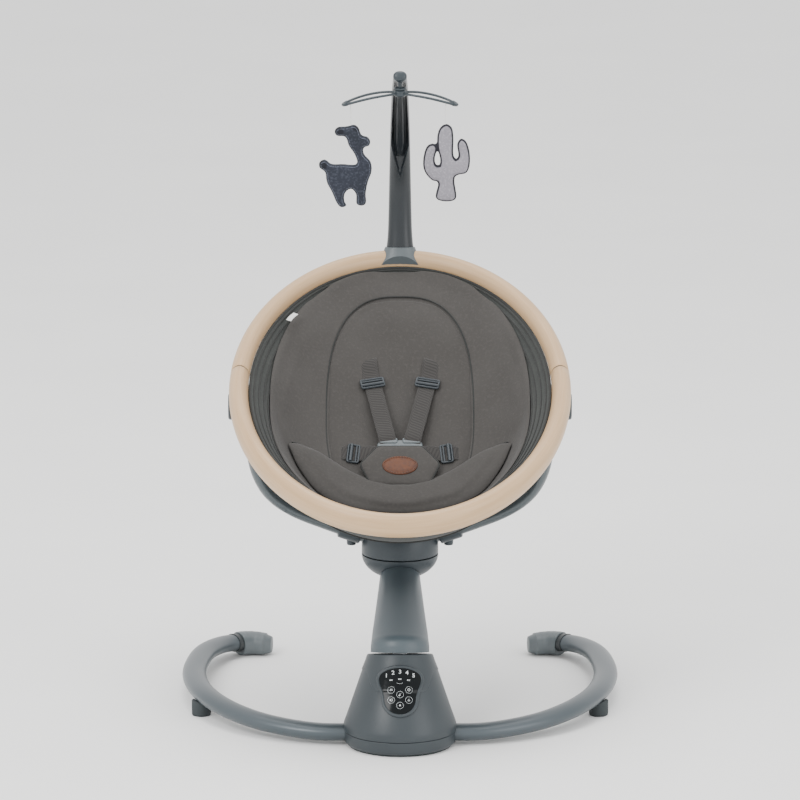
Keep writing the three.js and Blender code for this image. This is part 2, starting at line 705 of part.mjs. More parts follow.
const BUCKLE_BACK = -31; // where the buckle's middle lies along the seat
const buckleBlock = onCrotch(new THREE.BoxGeometry(64, 30, 10), BUCKLE_BACK, -7);
const keyHole = (r, low, high) => onCrotch(
  turned([[0, low], [r, low], [r, high], [0, high]], 18), BUCKLE_BACK, 0);
const seatSkin = cut(bowlSolid(0, 0), bowlSolid(29.4, 60));

part('harness_buckle', cut(buckleBlock, seatSkin, keyHole(8.4, -8.5, 10)),
  finish(0x34383a, 0.4), seat);
part('buckle_button', keyHole(8, -4.5, -0.8), finish(0x6b6f70, 0.4), seat);
part('crotch_pad', onCrotch(slab(crotchOutline(), 5), -56, 0.2),
  finish(FABRIC, 0.9), seat);

const badge = turned([[0, 0], [13, 0], [12.6, 1.6], [0, 1.6]], 28).scale(1.95, 1.3, 1);
part('leather_badge', onCrotch(badge, -58, 5.6), finish(0x7a5a42, 0.6), seat);

for (const [word, side] of [['left', -1], ['right', 1]]) {
  part(`${word}_shoulder_strap`, shoulderStrap(side), finish(FABRIC, 0.9), seat);
  part(`${word}_strap_adjuster`, strapAdjuster(side), finish(0x34383a, 0.4), seat);
  part(`${word}_waist_strap`, waistStrap(side), finish(FABRIC, 0.9), seat);
}

// ------------------------------------------------- seat brackets on the pivot
const FROM_SEAT = new THREE.Matrix4().makeRotationX(RING.tilt).setPosition(RING.centre);
const TO_SEAT = FROM_SEAT.clone().invert();

function ringBracket() {
  const inSeat = (geometry) => geometry.applyMatrix4(TO_SEAT);
  const boss = inSeat(atPivot(disc(20, 198.5, 211.6)));
  const pin = inSeat(atPivot(disc(6, 205, 222, 16)));
  const profile = new THREE.Shape([[198.5, -62], [211.6, -62], [211.6, -21], [212.5, -19.5],
    [232, -19.5], [232, -4], [198.5, -4]].map(([x, z]) => new THREE.Vector2(x, z)));
  const web = slab(profile, 30).rotateX(Math.PI / 2);
  moved(web, 0, 28 + 15, 0);
  const ring = ringTube(-0.15, 0.35, FIT);
  const bowl = bowlSolid(-0.6, 40);
  const lowTrim = moved(new THREE.BoxGeometry(60, 60, 60), 205, 28, -62 - 30 - 5);
  return cut(join(web, boss, pin), ring, bowl, lowTrim);
}

const bracket = ringBracket();
const housingRight = reclineHousing();
const armTube = (side) => sweep(armRoute(side),
  ovalShape(ARM.wide, ARM.thick, STEEL), 18, 5);
for (const [word, side] of [['left', -1], ['right', 1]]) {
  const own = (geometry) => (side > 0 ? geometry : mirrored(geometry));
  part(`${word}_arm`, armTube(side), finish(0x666d6d, 0.4, 0.6));
  part(`${word}_arm_clamp`, armClamp(side), finish(DARK, 0.5));
  part(`${word}_recline_housing`, own(housingRight), finish(SLATE, 0.45));
  part(`${word}_recline_button`, own(reclineButton), finish(GRAPHITE, 0.4));
  part(`${word}_ring_bracket`, own(bracket), finish(SLATE, 0.45), seat);
}

// --------------------------------------------------------------------- toy bar
const BAR_ROUTE = new THREE.CatmullRomCurve3([
  [566, 607.5], [571.5, 645], [573, 685], [569, 716], [556, 761], [536, 795],
  [500, 828], [451, 859], [396, 885], [331, 908],
].map(([y, z]) => vec(0, y, z)), false, 'centripetal');
const BAR_FOOT = BAR_ROUTE.getPointAt(0);
const BAR_UP = BAR_ROUTE.getTangentAt(0);
const PEG_R = 9;

function barRings(shrink, from, to, count, offset = 0) {
  return Array.from({ length: count }, (_, i) => {
    const k = from + (to - from) * (i / (count - 1));
    const held = Math.min(k, 1);
    const tangent = BAR_ROUTE.getTangentAt(held);
    const centre = BAR_ROUTE.getPointAt(held);
    centre.addScaledVector(tangent, (k - held) * BAR_ROUTE.getLength());
    const outward = vec(0, 0, 0).crossVectors(tangent, vec(1, 0, 0));
    centre.addScaledVector(outward, -offset);
    const wide = THREE.MathUtils.lerp(18, 10, Math.min(1, k * 1.05)) + 2 * Math.exp(-k * 30);
    const thick = THREE.MathUtils.lerp(17, 6.8, k);
    return ovalRing(centre, vec(1, 0, 0), outward, wide - shrink, thick - shrink, 12);
  });
}

function pegAlong(r, from, to) {
  const peg = turned([[0, from], [r, from], [r, to], [0, to]], 18);
  const turn = new THREE.Quaternion().setFromUnitVectors(vec(0, 0, 1), BAR_UP);
  return moved(peg.applyQuaternion(turn), BAR_FOOT.x, BAR_FOOT.y, BAR_FOOT.z);
}

const barBody = loft(barRings(0, 0, 0.985, 16));
const barChannel = loft([
  ...barRings(9.5, 0.3, 0.36, 2, 12), ...barRings(3, 0.42, 1.02, 8, 6.5),
]);
part('toy_bar', join(cut(barBody, barChannel), pegAlong(PEG_R, -24, 3)), finish(GRAPHITE, 0.4));

// The socket saddles the top of the ring, and the bar's peg passes through
// it into the ring's tube.
const SOCKET = [[-44, 33, 25], [-36, 34, 26], [-24, 32, 24], [-10, 26, 20], [-0.6, 21, 18]];
const pegHole = pegAlong(PEG_R + GAP, -25.5, 5);

function socketShape() {
  const across = vec(0, 0, 0).crossVectors(BAR_UP, vec(1, 0, 0));
  const rings = SOCKET.map(([down, a, b]) => ovalRing(
    BAR_FOOT.clone().addScaledVector(BAR_UP, down), vec(1, 0, 0), across, a, b, 16));
  const ring = ringTube(Math.PI / 2 - 0.3, Math.PI / 2 + 0.3, 2 * FIT).applyMatrix4(FROM_SEAT);
  const bowl = bowlSolid(-0.6, 60).applyMatrix4(FROM_SEAT);
  return cut(loft(rings), ring, bowl, pegHole);
}
part('toy_bar_socket', socketShape(), finish(0x7e8484, 0.4));

part('upper_ring', cut(
  ringTube(SEAM_ANGLE + SEAM_GAP, Math.PI - SEAM_ANGLE - SEAM_GAP, 0, WALL),
  pegHole.clone().applyMatrix4(TO_SEAT)), finish(BEIGE, 0.45), seat);

// ---------------------------------------------------------------------- mobile
const TIP = BAR_ROUTE.getPointAt(1);
const TIP_DIR = BAR_ROUTE.getTangentAt(1);
const MOBILE = { y: 342, z: 882, loopLength: 78, droop: 17, wire: 1.7 };
const STEM_R = 3;

function tipCap() {
  const inner = vec(0, 0, 0).crossVectors(TIP_DIR, vec(1, 0, 0));
  const rows = [[-3.2, 10.4, 7.4], [4, 10.2, 7.2], [8, 8.5, 5.8], [10, 4, 2.8]];
  return loft(rows.map(([along, a, b]) => ovalRing(
    TIP.clone().addScaledVector(TIP_DIR, along), vec(1, 0, 0), inner, a, b, 16)));
}
part('toy_bar_cap', tipCap(), finish(DARK, 0.4));

const STEM_TOP = 899.6; // just under the floor of the bar's channel
const SWIVEL_PIN_R = 2;
part('mobile_swivel', moved(turned([
  [0, 880.5], [SWIVEL_PIN_R, 880.5], [SWIVEL_PIN_R, 887.5], [9, 887.5], [9, 890],
  [STEM_R, 891], [STEM_R, STEM_TOP], [0, STEM_TOP],
], 18), 0, MOBILE.y, 0), finish(DARK, 0.4));

class WireLoop extends THREE.Curve {
  constructor(side) {
    super();
    this.side = side;
  }

  getPoint(t, target = vec(0, 0, 0)) {
    const angle = t * Math.PI * 2;
    const half = MOBILE.loopLength / 2;
    const x = this.side * (4 + half - half * Math.cos(angle));
    const fall = MOBILE.droop * (x / (2 * half + 4)) ** 2;
    return target.set(x, MOBILE.y + 17 * Math.sin(angle), MOBILE.z - fall);
  }
}

const wireLoop = (side) => new THREE.TubeGeometry(new WireLoop(side), 18, MOBILE.wire, 5, true);
const hangerHub = moved(turned([
  [0, 877], [7, 877], [9, 879], [9, 885], [7, 887], [0, 887],
], 14), 0, MOBILE.y, 0);
const pinHole = moved(turned([
  [0, 880], [SWIVEL_PIN_R + 0.5, 880], [SWIVEL_PIN_R + 0.5, 890], [0, 890],
], 14), 0, MOBILE.y, 0);
part('mobile_hanger', cut(join(hangerHub, wireLoop(-1), wireLoop(1)), pinHole),
  finish(0x4a5050, 0.4));

const LLAMA = [
  [-2, -1], [4, 1], [11, -3], [16, -15], [24, -17], [29, -24], [26, -31], [19, -33],
  [19, -42], [29, -54], [30.5, -68], [25, -84], [22, -100], [21.5, -117], [15, -119.5],
  [8.5, -117], [7.5, -102], [0.5, -94], [-8, -100], [-9.5, -112], [-6, -119], [-14, -122],
  [-20, -116], [-27, -100], [-35, -84], [-37.5, -69], [-45.5, -63], [-45.5, -54.5],
  [-37, -50.5], [-29, -57], [-12, -57.5], [9, -57], [6, -44], [-3, -30], [-8, -17],
  [-20, -16], [-24, -9], [-18, -2.5], [-9, -2],
];
const CACTUS = [
  [-7, -4.5], [1.5, 0], [9, -5], [11.7, -20], [11.7, -46], [14.5, -52], [18.5, -49],
  [17, -29], [22.5, -21.5], [30, -26], [36, -52], [31, -72], [14.2, -78], [14.5, -112],
  [-13.5, -111], [-11, -86], [-19, -84], [-31, -69], [-32, -49], [-26, -32], [-17.5, -29],
  [-12.5, -34], [-15.5, -52], [-13.5, -60.5], [-9, -61.5], [-7.8, -52], [-11.5, -36],
  [-11.7, -16],
];
const TOY_HALF = 7;

function toy(outline, x, top) {
  const spline = new THREE.SplineCurve(outline.map(([u, v]) => new THREE.Vector2(u, v)));
  const shape = new THREE.Shape(spline.getPoints(Math.round(outline.length * 1.3)));
  const geometry = new THREE.ExtrudeGeometry(shape, {
    depth: TOY_HALF * 2, bevelEnabled: false,
  }).rotateX(Math.PI / 2);
  return moved(geometry, x, MOBILE.y + TOY_HALF, top);
}

const STRINGS = [['llama', -71.5, LLAMA, 0x4d525c], ['cactus', 66, CACTUS, 0xb3b1b8]];
const STRING = { length: 31, r: 0.7 };
for (const [name, x, outline, color] of STRINGS) {
  const fall = MOBILE.droop * (x / (MOBILE.loopLength + 4)) ** 2;
  const high = MOBILE.z - fall - MOBILE.wire - 0.4;
  const low = high - STRING.length;
  const string = turned([[0, low], [STRING.r, low], [STRING.r, high], [0, high]], 8);
  part(`${name}_string`, moved(string, x, MOBILE.y, 0), finish(0xd8d8d8, 0.8));
  part(`${name}_toy`, toy(outline, x, low - 1.2), finish(color, 0.95));
}

export default swing;
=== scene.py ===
# %% [markdown]
# # A baby swing, finished around its working frame
# The frame gives every moving piece its place and size. This lesson models
# what the eye sees: moulded shells, powder-coated tubes, a wood-look ring,
# a quilted seat with its harness, and a toy bar with two felt toys.
# Lengths are written in millimetres and turned to metres in one place.

# %% Load the frame
import math

import bmesh
import bpy
from mathutils import Matrix, Vector


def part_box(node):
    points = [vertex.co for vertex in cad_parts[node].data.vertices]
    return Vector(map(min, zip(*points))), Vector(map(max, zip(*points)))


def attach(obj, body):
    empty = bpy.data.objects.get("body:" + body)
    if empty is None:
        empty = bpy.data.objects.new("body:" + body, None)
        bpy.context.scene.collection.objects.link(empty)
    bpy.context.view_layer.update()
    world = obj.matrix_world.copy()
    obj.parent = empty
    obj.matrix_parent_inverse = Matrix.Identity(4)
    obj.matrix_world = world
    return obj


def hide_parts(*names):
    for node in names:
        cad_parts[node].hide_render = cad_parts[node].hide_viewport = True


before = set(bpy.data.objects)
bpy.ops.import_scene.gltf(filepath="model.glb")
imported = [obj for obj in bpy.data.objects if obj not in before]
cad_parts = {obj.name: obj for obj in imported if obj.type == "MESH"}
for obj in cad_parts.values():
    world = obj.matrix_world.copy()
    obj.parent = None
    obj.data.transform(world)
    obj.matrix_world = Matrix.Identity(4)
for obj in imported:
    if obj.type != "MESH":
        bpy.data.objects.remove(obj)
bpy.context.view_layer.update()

# %% [markdown]
# ## Hands
# Blender's operators act on what is selected, so each step starts by letting
# go of everything. Most of this object is lofted: one loop of points is
# extruded again and again, and each new loop is moved to its place. By hand
# that is E, then G, S and R; here the loop's points are placed by a number
# that each point keeps when it is extruded.

# %% Selecting, placing and finishing
MM = 0.001
WORLD = Matrix.Identity(4)
X, Y, Z = Vector((1, 0, 0)), Vector((0, 1, 0)), Vector((0, 0, 1))


def clear():
    """Leaves edit mode and lets go of everything."""
    if bpy.context.object and bpy.context.object.mode != "OBJECT":
        bpy.ops.object.mode_set(mode="OBJECT")
    bpy.ops.object.select_all(action="DESELECT")


def take(piece):
    """Selects one piece alone, as the active one."""
    clear()
    piece.select_set(True)
    bpy.context.view_layer.objects.active = piece
    return piece


def clean(piece, fill=True):
    """Merges doubled points, closes open ends and turns the faces outwards."""
    take(piece)
    bpy.ops.object.mode_set(mode="EDIT")
    bpy.ops.mesh.select_all(action="SELECT")
    bpy.ops.mesh.remove_doubles(threshold=2e-6)
    if fill:
        bpy.ops.mesh.fill_holes(sides=0)
    bpy.ops.mesh.select_all(action="SELECT")
    bpy.ops.mesh.normals_make_consistent(inside=False)
    bpy.ops.object.mode_set(mode="OBJECT")
    return piece


def skin(name, rings, where=WORLD, looped=False, fill=True):
    """Extrudes one loop from ring to ring; the rings are lists of points."""
    clear()
    bpy.ops.mesh.primitive_circle_add(vertices=len(rings[0]), radius=1)
    piece = bpy.context.object
    piece.name = piece.data.name = name
    spots = piece.data.attributes.new("spot", "INT", "POINT")
    piece.data.attributes.new("row", "INT", "POINT")
    for i, entry in enumerate(spots.data):
        entry.value = i
    bpy.ops.object.mode_set(mode="EDIT")
    bpy.ops.mesh.select_all(action="SELECT")
    for number, ring in enumerate(rings + rings[:1] if looped else rings):
        if number:
            bpy.ops.mesh.extrude_region()
        loop = bmesh.from_edit_mesh(piece.data)
        spot, row = loop.verts.layers.int["spot"], loop.verts.layers.int["row"]
        for v in loop.verts:
            if v.select:
                v.co = where @ (ring[v[spot]] * MM)
                v[row] = number
    bpy.ops.object.mode_set(mode="OBJECT")
    unwrap(piece, rings)
    return clean(piece, fill=fill and not looped)


def unwrap(piece, rings):
    """Lays a map on a lofted skin, in metres: round it, and along it."""
    middles = [sum(ring, Vector()) / len(ring) for ring in rings]
    middles.append(middles[0])
    along = [0.0]
    for a, b in zip(middles, middles[1:]):
        along.append(along[-1] + (b - a).length * MM)
    middle = rings[len(rings) // 2]
    girth = sum((a - b).length for a, b in zip(middle, middle[1:] + middle[:1])) * MM
    count = len(rings[0])
    spot = [e.value for e in piece.data.attributes["spot"].data]
    row = [e.value for e in piece.data.attributes["row"].data]
    layer = piece.data.uv_layers.new(name="surface")
    for face in piece.data.polygons:
        spots = [spot[v] for v in face.vertices]
        wraps = max(spots) - min(spots) > count // 2
        for loop, v, s in zip(face.loop_indices, face.vertices, spots):
            turn = (s + count if wraps and s < count // 2 else s) / count
            layer.data[loop].uv = (turn * girth, along[row[v]])
    for name in ("spot", "row"):
        piece.data.attributes.remove(piece.data.attributes[name])


def oval(centre, across, up, a, b, sides, square=2.0):
    """Points round an oval in two directions; `square` fills its corners."""
    points = []
    for i in range(sides):
        turn = 2 * math.pi * i / sides
        c, s = math.cos(turn), math.sin(turn)
        out = math.copysign(abs(c) ** (2 / square), c) * a
        high = math.copysign(abs(s) ** (2 / square), s) * b
        points.append(centre + across * out + up * high)
    return points


def modify(piece, kind, **settings):
    """Adds a modifier with its settings and applies it."""
    take(piece)
    bpy.ops.object.modifier_add(type=kind)
    modifier = piece.modifiers[-1]
    for key, value in settings.items():
        setattr(modifier, key, value)
    bpy.ops.object.modifier_apply(modifier=modifier.name)
    return piece


def cut(piece, tool):
    """Takes the tool's shape out of a piece."""
    modify(piece, "BOOLEAN", operation="DIFFERENCE", object=tool, solver="EXACT")
    bpy.data.objects.remove(tool)
    return piece


def fuse(piece, other):
    """Adds another closed shape to a piece, as one skin."""
    modify(piece, "BOOLEAN", operation="UNION", object=other, solver="EXACT")
    bpy.data.objects.remove(other)
    return piece


def join(piece, *others):
    """Makes several shapes one piece."""
    take(piece)
    for other in others:
        other.select_set(True)
    bpy.ops.object.join()
    return piece


def twin(piece, name):
    """A copy with its own mesh, mirrored to the other side."""
    take(piece)
    bpy.ops.object.duplicate()
    copy = bpy.context.object
    copy.name = copy.data.name = name
    for v in copy.data.vertices:
        v.co.x = -v.co.x
    copy.data.flip_normals()
    return copy


def settle(piece, body, nodes, material, angle=38):
    """Shades a finished piece and hangs it on the frame."""
    take(piece)
    bpy.ops.object.transform_apply(location=True, rotation=True, scale=True)
    bpy.ops.object.shade_smooth_by_angle(angle=math.radians(angle))
    piece.data.materials.clear()
    piece.data.materials.append(material)
    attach(piece, body)
    if nodes:
        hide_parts(*nodes)
    size = [round(d / MM) for d in piece.dimensions]
    print(f"{piece.name}: {len(piece.data.polygons)} faces, {size} mm")
    return piece


def settle_pair(piece, body, node, material):
    """Settles a right-hand piece and its twin; SIDE in a body's name is the side."""
    other = twin(piece, piece.name.replace("right", "left"))
    for one, side in ((piece, "right"), (other, "left")):
        settle(one, body.replace("SIDE", side), [f"{side}_{node}"] if node else [], material)


# %% Curves that the loops follow
def flow(points, count):
    """Evenly spaced points, with their directions, on a smooth curve."""
    pts = [Vector(p) for p in points]
    pts = [pts[0] * 2 - pts[1]] + pts + [pts[-1] * 2 - pts[-2]]
    fine = []
    for p0, p1, p2, p3 in zip(pts, pts[1:], pts[2:], pts[3:]):
        t1 = (p1 - p0).length ** 0.5
        t2 = t1 + (p2 - p1).length ** 0.5
        t3 = t2 + (p3 - p2).length ** 0.5
        for i in range(24):
            t = t1 + (t2 - t1) * i / 24
            a1 = p0.lerp(p1, t / t1)
            a2 = p1.lerp(p2, (t - t1) / (t2 - t1))
            a3 = p2.lerp(p3, (t - t2) / (t3 - t2))
            fine.append(a1.lerp(a2, t / t2).lerp(a2.lerp(a3, (t - t1) / (t3 - t1)), (t - t1) / (t2 - t1)))
    fine.append(pts[-2])
    reach = [0.0]
    for a, b in zip(fine, fine[1:]):
        reach.append(reach[-1] + (b - a).length)
    spaced, j = [], 0
    for i in range(count):
        want = reach[-1] * i / (count - 1)
        while j < len(reach) - 2 and reach[j + 1] < want:
            j += 1
        k = (want - reach[j]) / max(reach[j + 1] - reach[j], 1e-9)
        spaced.append(fine[j].lerp(fine[j + 1], min(max(k, 0), 1)))
    ahead = [(spaced[min(i + 1, count - 1)] - spaced[max(i - 1, 0)]).normalized() for i in range(count)]
    return spaced, ahead


def table(rows, count):
    """A table of numbers read smoothly at `count` even steps."""
    size = len(rows[0])
    found = []
    for i in range(count):
        t = (len(rows) - 1) * i / (count - 1)
        j = min(int(t), len(rows) - 2)
        k = t - j
        around = [rows[min(max(j + d, 0), len(rows) - 1)] for d in (-1, 0, 1, 2)]
        found.append([
            0.5 * (2 * b + (c - a) * k + (2 * a - 5 * b + 4 * c - d) * k * k
                   + (3 * b - a - 3 * c + d) * k ** 3)
            for a, b, c, d in (tuple(r[n] for r in around) for n in range(size))
        ])
    return found


def tube(name, points, upright, half_side, half_up, sides=40, where=WORLD, looped=False, square=2.0):
    """A tube along points; `upright` is the side that stays uppermost."""
    rings = []
    count = len(points)
    for i, p in enumerate(points):
        after = points[(i + 1) % count if looped else min(i + 1, count - 1)]
        before = points[(i - 1) % count if looped else max(i - 1, 0)]
        ahead = (after - before).normalized()
        side = ahead.cross(upright).normalized()
        up = side.cross(ahead).normalized()
        rings.append(oval(p, side, up, half_side, half_up, sides, square))
    return skin(name, rings, where, looped)


def turned(name, profile, centre, axis, sides=64):
    """A turned piece: each profile row is a radius and a height on the axis."""
    across = axis.orthogonal().normalized()
    up = axis.cross(across)
    rings = [oval(centre + axis * h, across, up, max(r, 0.001), max(r, 0.001), sides)
             for r, h in profile]
    return skin(name, rings)


def rounded(corners, radius, steps=5):
    """A turned profile whose inner corners are rounded off."""
    found = [Vector(corners[0])]
    for a, b, c in zip(corners, corners[1:], corners[2:]):
        a, b, c = Vector(a), Vector(b), Vector(c)
        r = min(radius, (a - b).length * 0.45, (c - b).length * 0.45)
        start, end = b + (a - b).normalized() * r, b + (c - b).normalized() * r
        for i in range(steps + 1):
            k = i / steps
            found.append(start.lerp(b, k).lerp(b.lerp(end, k), k))
    found.append(Vector(corners[-1]))
    return found


# %% [markdown]
# ## Finishes
# Every finish is a small tree of nodes on one Principled shader. Colours are
# written as sRGB hex, as a paint card gives them, and turned to the linear
# values that the shader wants.

# %% Nodes and colours
# A Mix node has sockets for numbers, vectors and colours; these are the colours'.
MIX_A, MIX_B, MIX_OUT = 6, 7, 2


def linear(hexcode):
    """An sRGB hex colour as linear red, green, blue and alpha."""
    parts = [int(hexcode[i:i + 2], 16) / 255 for i in (1, 3, 5)]
    return tuple(c / 12.92 if c <= 0.04045 else ((c + 0.055) / 1.055) ** 2.4 for c in parts) + (1.0,)


def add(tree, kind, sockets=None, **settings):
    """Adds a node; a socket is given a value, or linked from another's output."""
    node = tree.nodes.new("ShaderNode" + kind)
    for key, value in settings.items():
        setattr(node, key, value)
    for key, value in (sockets or {}).items():
        if isinstance(value, bpy.types.NodeSocket):
            tree.links.new(value, node.inputs[key])
        else:
            node.inputs[key].default_value = value
    return node


def material(name, **sockets):
    """A new finish: its tree and its Principled shader."""
    made = bpy.data.materials.new(name)
    made.use_nodes = True
    shader = made.node_tree.nodes["Principled BSDF"]
    for key, value in sockets.items():
        shader.inputs[key.replace("_", " ")].default_value = value
    return made, made.node_tree, shader


def blend_colour(tree, shader, factor, low, high):
    """Colours a finish between two shades by a pattern."""
    ramp = add(tree, "ValToRGB", {"Fac": factor})
    ramp.color_ramp.elements[0].position, ramp.color_ramp.elements[1].position = 0.3, 0.7
    ramp.color_ramp.elements[0].color, ramp.color_ramp.elements[1].color = linear(low), linear(high)
    tree.links.new(ramp.outputs["Color"], shader.inputs["Base Color"])


def roughen(tree, shader, factor, low, high):
    """Varies the roughness by a pattern, as handling and moulding do."""
    span = add(tree, "MapRange", {"Value": factor, "To Min": low, "To Max": high})
    tree.links.new(span.outputs["Result"], shader.inputs["Roughness"])


def emboss(tree, shader, height, depth, under=None):
    """Raises a pattern by `depth` millimetres on the surface."""
    bump = add(tree, "Bump", {"Height": height, "Distance": depth * MM, "Strength": 1.0})
    if under:
        tree.links.new(under.outputs["Normal"], bump.inputs["Normal"])
    tree.links.new(bump.outputs["Normal"], shader.inputs["Normal"])
    return bump


# %% Moulded plastics
# Moulded ABS and polypropylene: a spark-eroded mould leaves a fine even
# grain, so the gloss is satin and breaks up at close range. The grain of the
# real mould is about 0.15 mm; it is drawn at 0.7 mm to show at all.
def moulded(name, low, high, rough=(0.36, 0.46), grain=0.7, depth=0.02):
    """A moulded plastic between two shades, with its grain in millimetres."""
    made, tree, shader = material(name, Specular_IOR_Level=0.45)
    place = add(tree, "TexCoord").outputs["Object"]
    fine = add(tree, "TexNoise", {"Vector": place, "Scale": 1 / (grain * MM), "Detail": 3.0})
    broad = add(tree, "TexNoise", {"Vector": place, "Scale": 14.0, "Detail": 2.0})
    blend_colour(tree, shader, broad.outputs["Fac"], low, high)
    roughen(tree, shader, broad.outputs["Fac"], *rough)
    emboss(tree, shader, fine.outputs["Fac"], depth)
    return made


SLATE = moulded("moulded_abs_slate", "#2a3135", "#2f363a")
# The column is the pedestal's slate ABS, painted lighter to make up for the shade that the seat casts on it.
COLUMN_ABS_PAINTED_LIT = moulded("moulded_abs_column", "#424b50", "#475156")
DARK = moulded("moulded_abs_dark", "#2c3439", "#31393e")
GRAPHITE = moulded("moulded_abs_graphite", "#2b3136", "#30363b")
BAR_PLASTIC = moulded("moulded_nylon_graphite", "#1b2024", "#1f2428", (0.3, 0.4))
CLAMP = moulded("moulded_abs_grey", "#545b5e", "#5a6164")
BLACK = moulded("moulded_acetal_black", "#23282a", "#2a2f31", (0.32, 0.42))
GEAR = moulded("moulded_acetal_natural", "#d4d0c4", "#dcd8cc", (0.4, 0.5))

# Thermoplastic rubber feet and floor pad: matt, with the least sheen at the edge.
RUBBER = moulded("moulded_rubber", "#2d3335", "#343a3c", (0.72, 0.85), 0.9, 0.04)

# %% Powder coat, steel, glossy panel and its print
# Powder coat flows out to a faint orange peel, about 2 mm from crest to
# crest, over steel tube. The metal flake in it gives the broad soft shine.
def powder_coat(name, low, high, metal, rough):
    """A powder coat between two shades, with its flake and roughness."""
    made, tree, shader = material(name, Metallic=metal, Coat_Weight=0.25, Coat_Roughness=0.3)
    place = add(tree, "TexCoord").outputs["Object"]
    peel = add(tree, "TexNoise", {"Vector": place, "Scale": 480.0, "Detail": 1.5})
    broad = add(tree, "TexNoise", {"Vector": place, "Scale": 9.0})
    blend_colour(tree, shader, broad.outputs["Fac"], low, high)
    roughen(tree, shader, broad.outputs["Fac"], rough - 0.03, rough + 0.04)
    emboss(tree, shader, peel.outputs["Fac"], 0.03)
    return made


TUBE_PAINT = powder_coat("powder_coated_steel_slate", "#40494e", "#474f54", 0.35, 0.38)
ARM_PAINT = powder_coat("powder_coated_steel_grey", "#474e51", "#4d5457", 0.3, 0.42)

STEEL, tree, shader = material("turned_steel", Metallic=1.0, Base_Color=linear("#a3a7aa"))
place = add(tree, "TexCoord").outputs["Object"]
lathe = add(tree, "TexNoise", {"Vector": place, "Scale": 900.0, "Detail": 2.0})
roughen(tree, shader, lathe.outputs["Fac"], 0.22, 0.38)

# The panel is a polished acrylic lens over black print: hard, clear, and
# faintly marked by fingers, which only the roughness shows.
PANEL, tree, shader = material(
    "polished_acrylic_black", Base_Color=linear("#04090b"), Specular_IOR_Level=0.18)
place = add(tree, "TexCoord").outputs["Object"]
marks = add(tree, "TexNoise", {"Vector": place, "Scale": 55.0, "Detail": 4.0})
roughen(tree, shader, marks.outputs["Fac"], 0.06, 0.2)

PRINT, tree, shader = material("screen_print_pale_grey")
place = add(tree, "TexCoord").outputs["Object"]
ink = add(tree, "TexNoise", {"Vector": place, "Scale": 2500.0})
blend_colour(tree, shader, ink.outputs["Fac"], "#c3c9ca", "#d6dbdc")
roughen(tree, shader, ink.outputs["Fac"], 0.45, 0.6)

CIRCUIT, tree, shader = material("solder_masked_laminate", Roughness=0.35)
place = add(tree, "TexCoord").outputs["Object"]
tracks = add(tree, "TexBrick", {"Vector": place, "Scale": 260.0})
tracks.inputs["Color1"].default_value = linear("#1f4a33")
tracks.inputs["Color2"].default_value = linear("#245a3c")
tracks.inputs["Mortar"].default_value = linear("#2f6b49")
tree.links.new(tracks.outputs["Color"], shader.inputs["Base Color"])
print("hard finishes made:", len(bpy.data.materials))

# %% [markdown]
# ## Soft finishes
# Cloth is dull because its threads stand up and shade each other, and it
# has a pale edge where light catches their tips: that is sheen. The pads are
# knitted jersey, so a fine knobbly height is enough; webbing and the ring's
# wood-look film follow their own length, so those read the surface map.

# %% Knit, lining, felt and leather
def cloth(name, low, high, thread, depth, sheen=0.25, fleck="#6f6c69", rough=0.92):
    """A cloth with threads `thread` millimetres apart and a faint fleck."""
    made, tree, shader = material(
        name, Roughness=rough, Sheen_Weight=sheen, Sheen_Roughness=0.45, Specular_IOR_Level=0.2)
    place = add(tree, "TexCoord").outputs["Object"]
    stitches = add(tree, "TexVoronoi", {"Vector": place, "Scale": 1 / (thread * MM)})
    soft = add(tree, "TexNoise", {"Vector": place, "Scale": 1 / (3.2 * thread * MM), "Detail": 4.0})
    broad = add(tree, "TexNoise", {"Vector": place, "Scale": 13.0, "Detail": 3.0})
    blend_colour(tree, shader, broad.outputs["Fac"], low, high)
    ground = shader.inputs["Base Color"].links[0].from_socket
    flecks = add(tree, "ValToRGB", {"Fac": soft.outputs["Fac"]})
    flecks.color_ramp.elements[0].position, flecks.color_ramp.elements[1].position = 0.5, 0.72
    flecks.color_ramp.elements[1].color = (0.55, 0.55, 0.55, 1)
    mixed = add(tree, "Mix", {"Factor": flecks.outputs["Color"], MIX_A: ground, MIX_B: linear(fleck)},
                data_type="RGBA")
    tree.links.new(mixed.outputs[MIX_OUT], shader.inputs["Base Color"])
    first = emboss(tree, shader, soft.outputs["Fac"], depth)
    emboss(tree, shader, stitches.outputs["Distance"], depth * 0.7, under=first)
    return made


# Knitted polyester jersey: stitches 0.9 mm apart on the real pad, drawn at
# 1.3 mm so that they read.
PAD_CLOTH = cloth("knitted_jersey_taupe", "#403e3c", "#444240", 1.3, 0.2, 0.1, "#4b4846")
INLAY_CLOTH = cloth("knitted_jersey_dark_taupe", "#3e3c3a", "#42403e", 1.3, 0.2, 0.1, "#494644")
LINING = cloth("woven_lining_grey", "#363837", "#3c3e3c", 1.1, 0.12, 0.08, "#454744")
PIPING = cloth("corded_piping_grey", "#2c2d2c", "#323332", 0.9, 0.1, 0.1, "#3c3d3b")
# Felt has no weave: its fibres lie every way, a millimetre or two long.
FELT_DARK = cloth("wool_felt_slate", "#25282f", "#2c2f38", 0.9, 0.3, 0.2, "#4a4e59")
COTTON = cloth("brushed_cotton_pale", "#7f7c83", "#8d8a91", 1.0, 0.2, 0.15, "#aba8af")
THREAD = cloth("polyester_thread_white", "#d5d5d3", "#dededc", 0.6, 0.05, 0.2, "#e8e8e6")
TAG_CLOTH = cloth("satin_label_white", "#d0d0cc", "#dadad6", 0.8, 0.05, 0.1, "#e4e4e0")
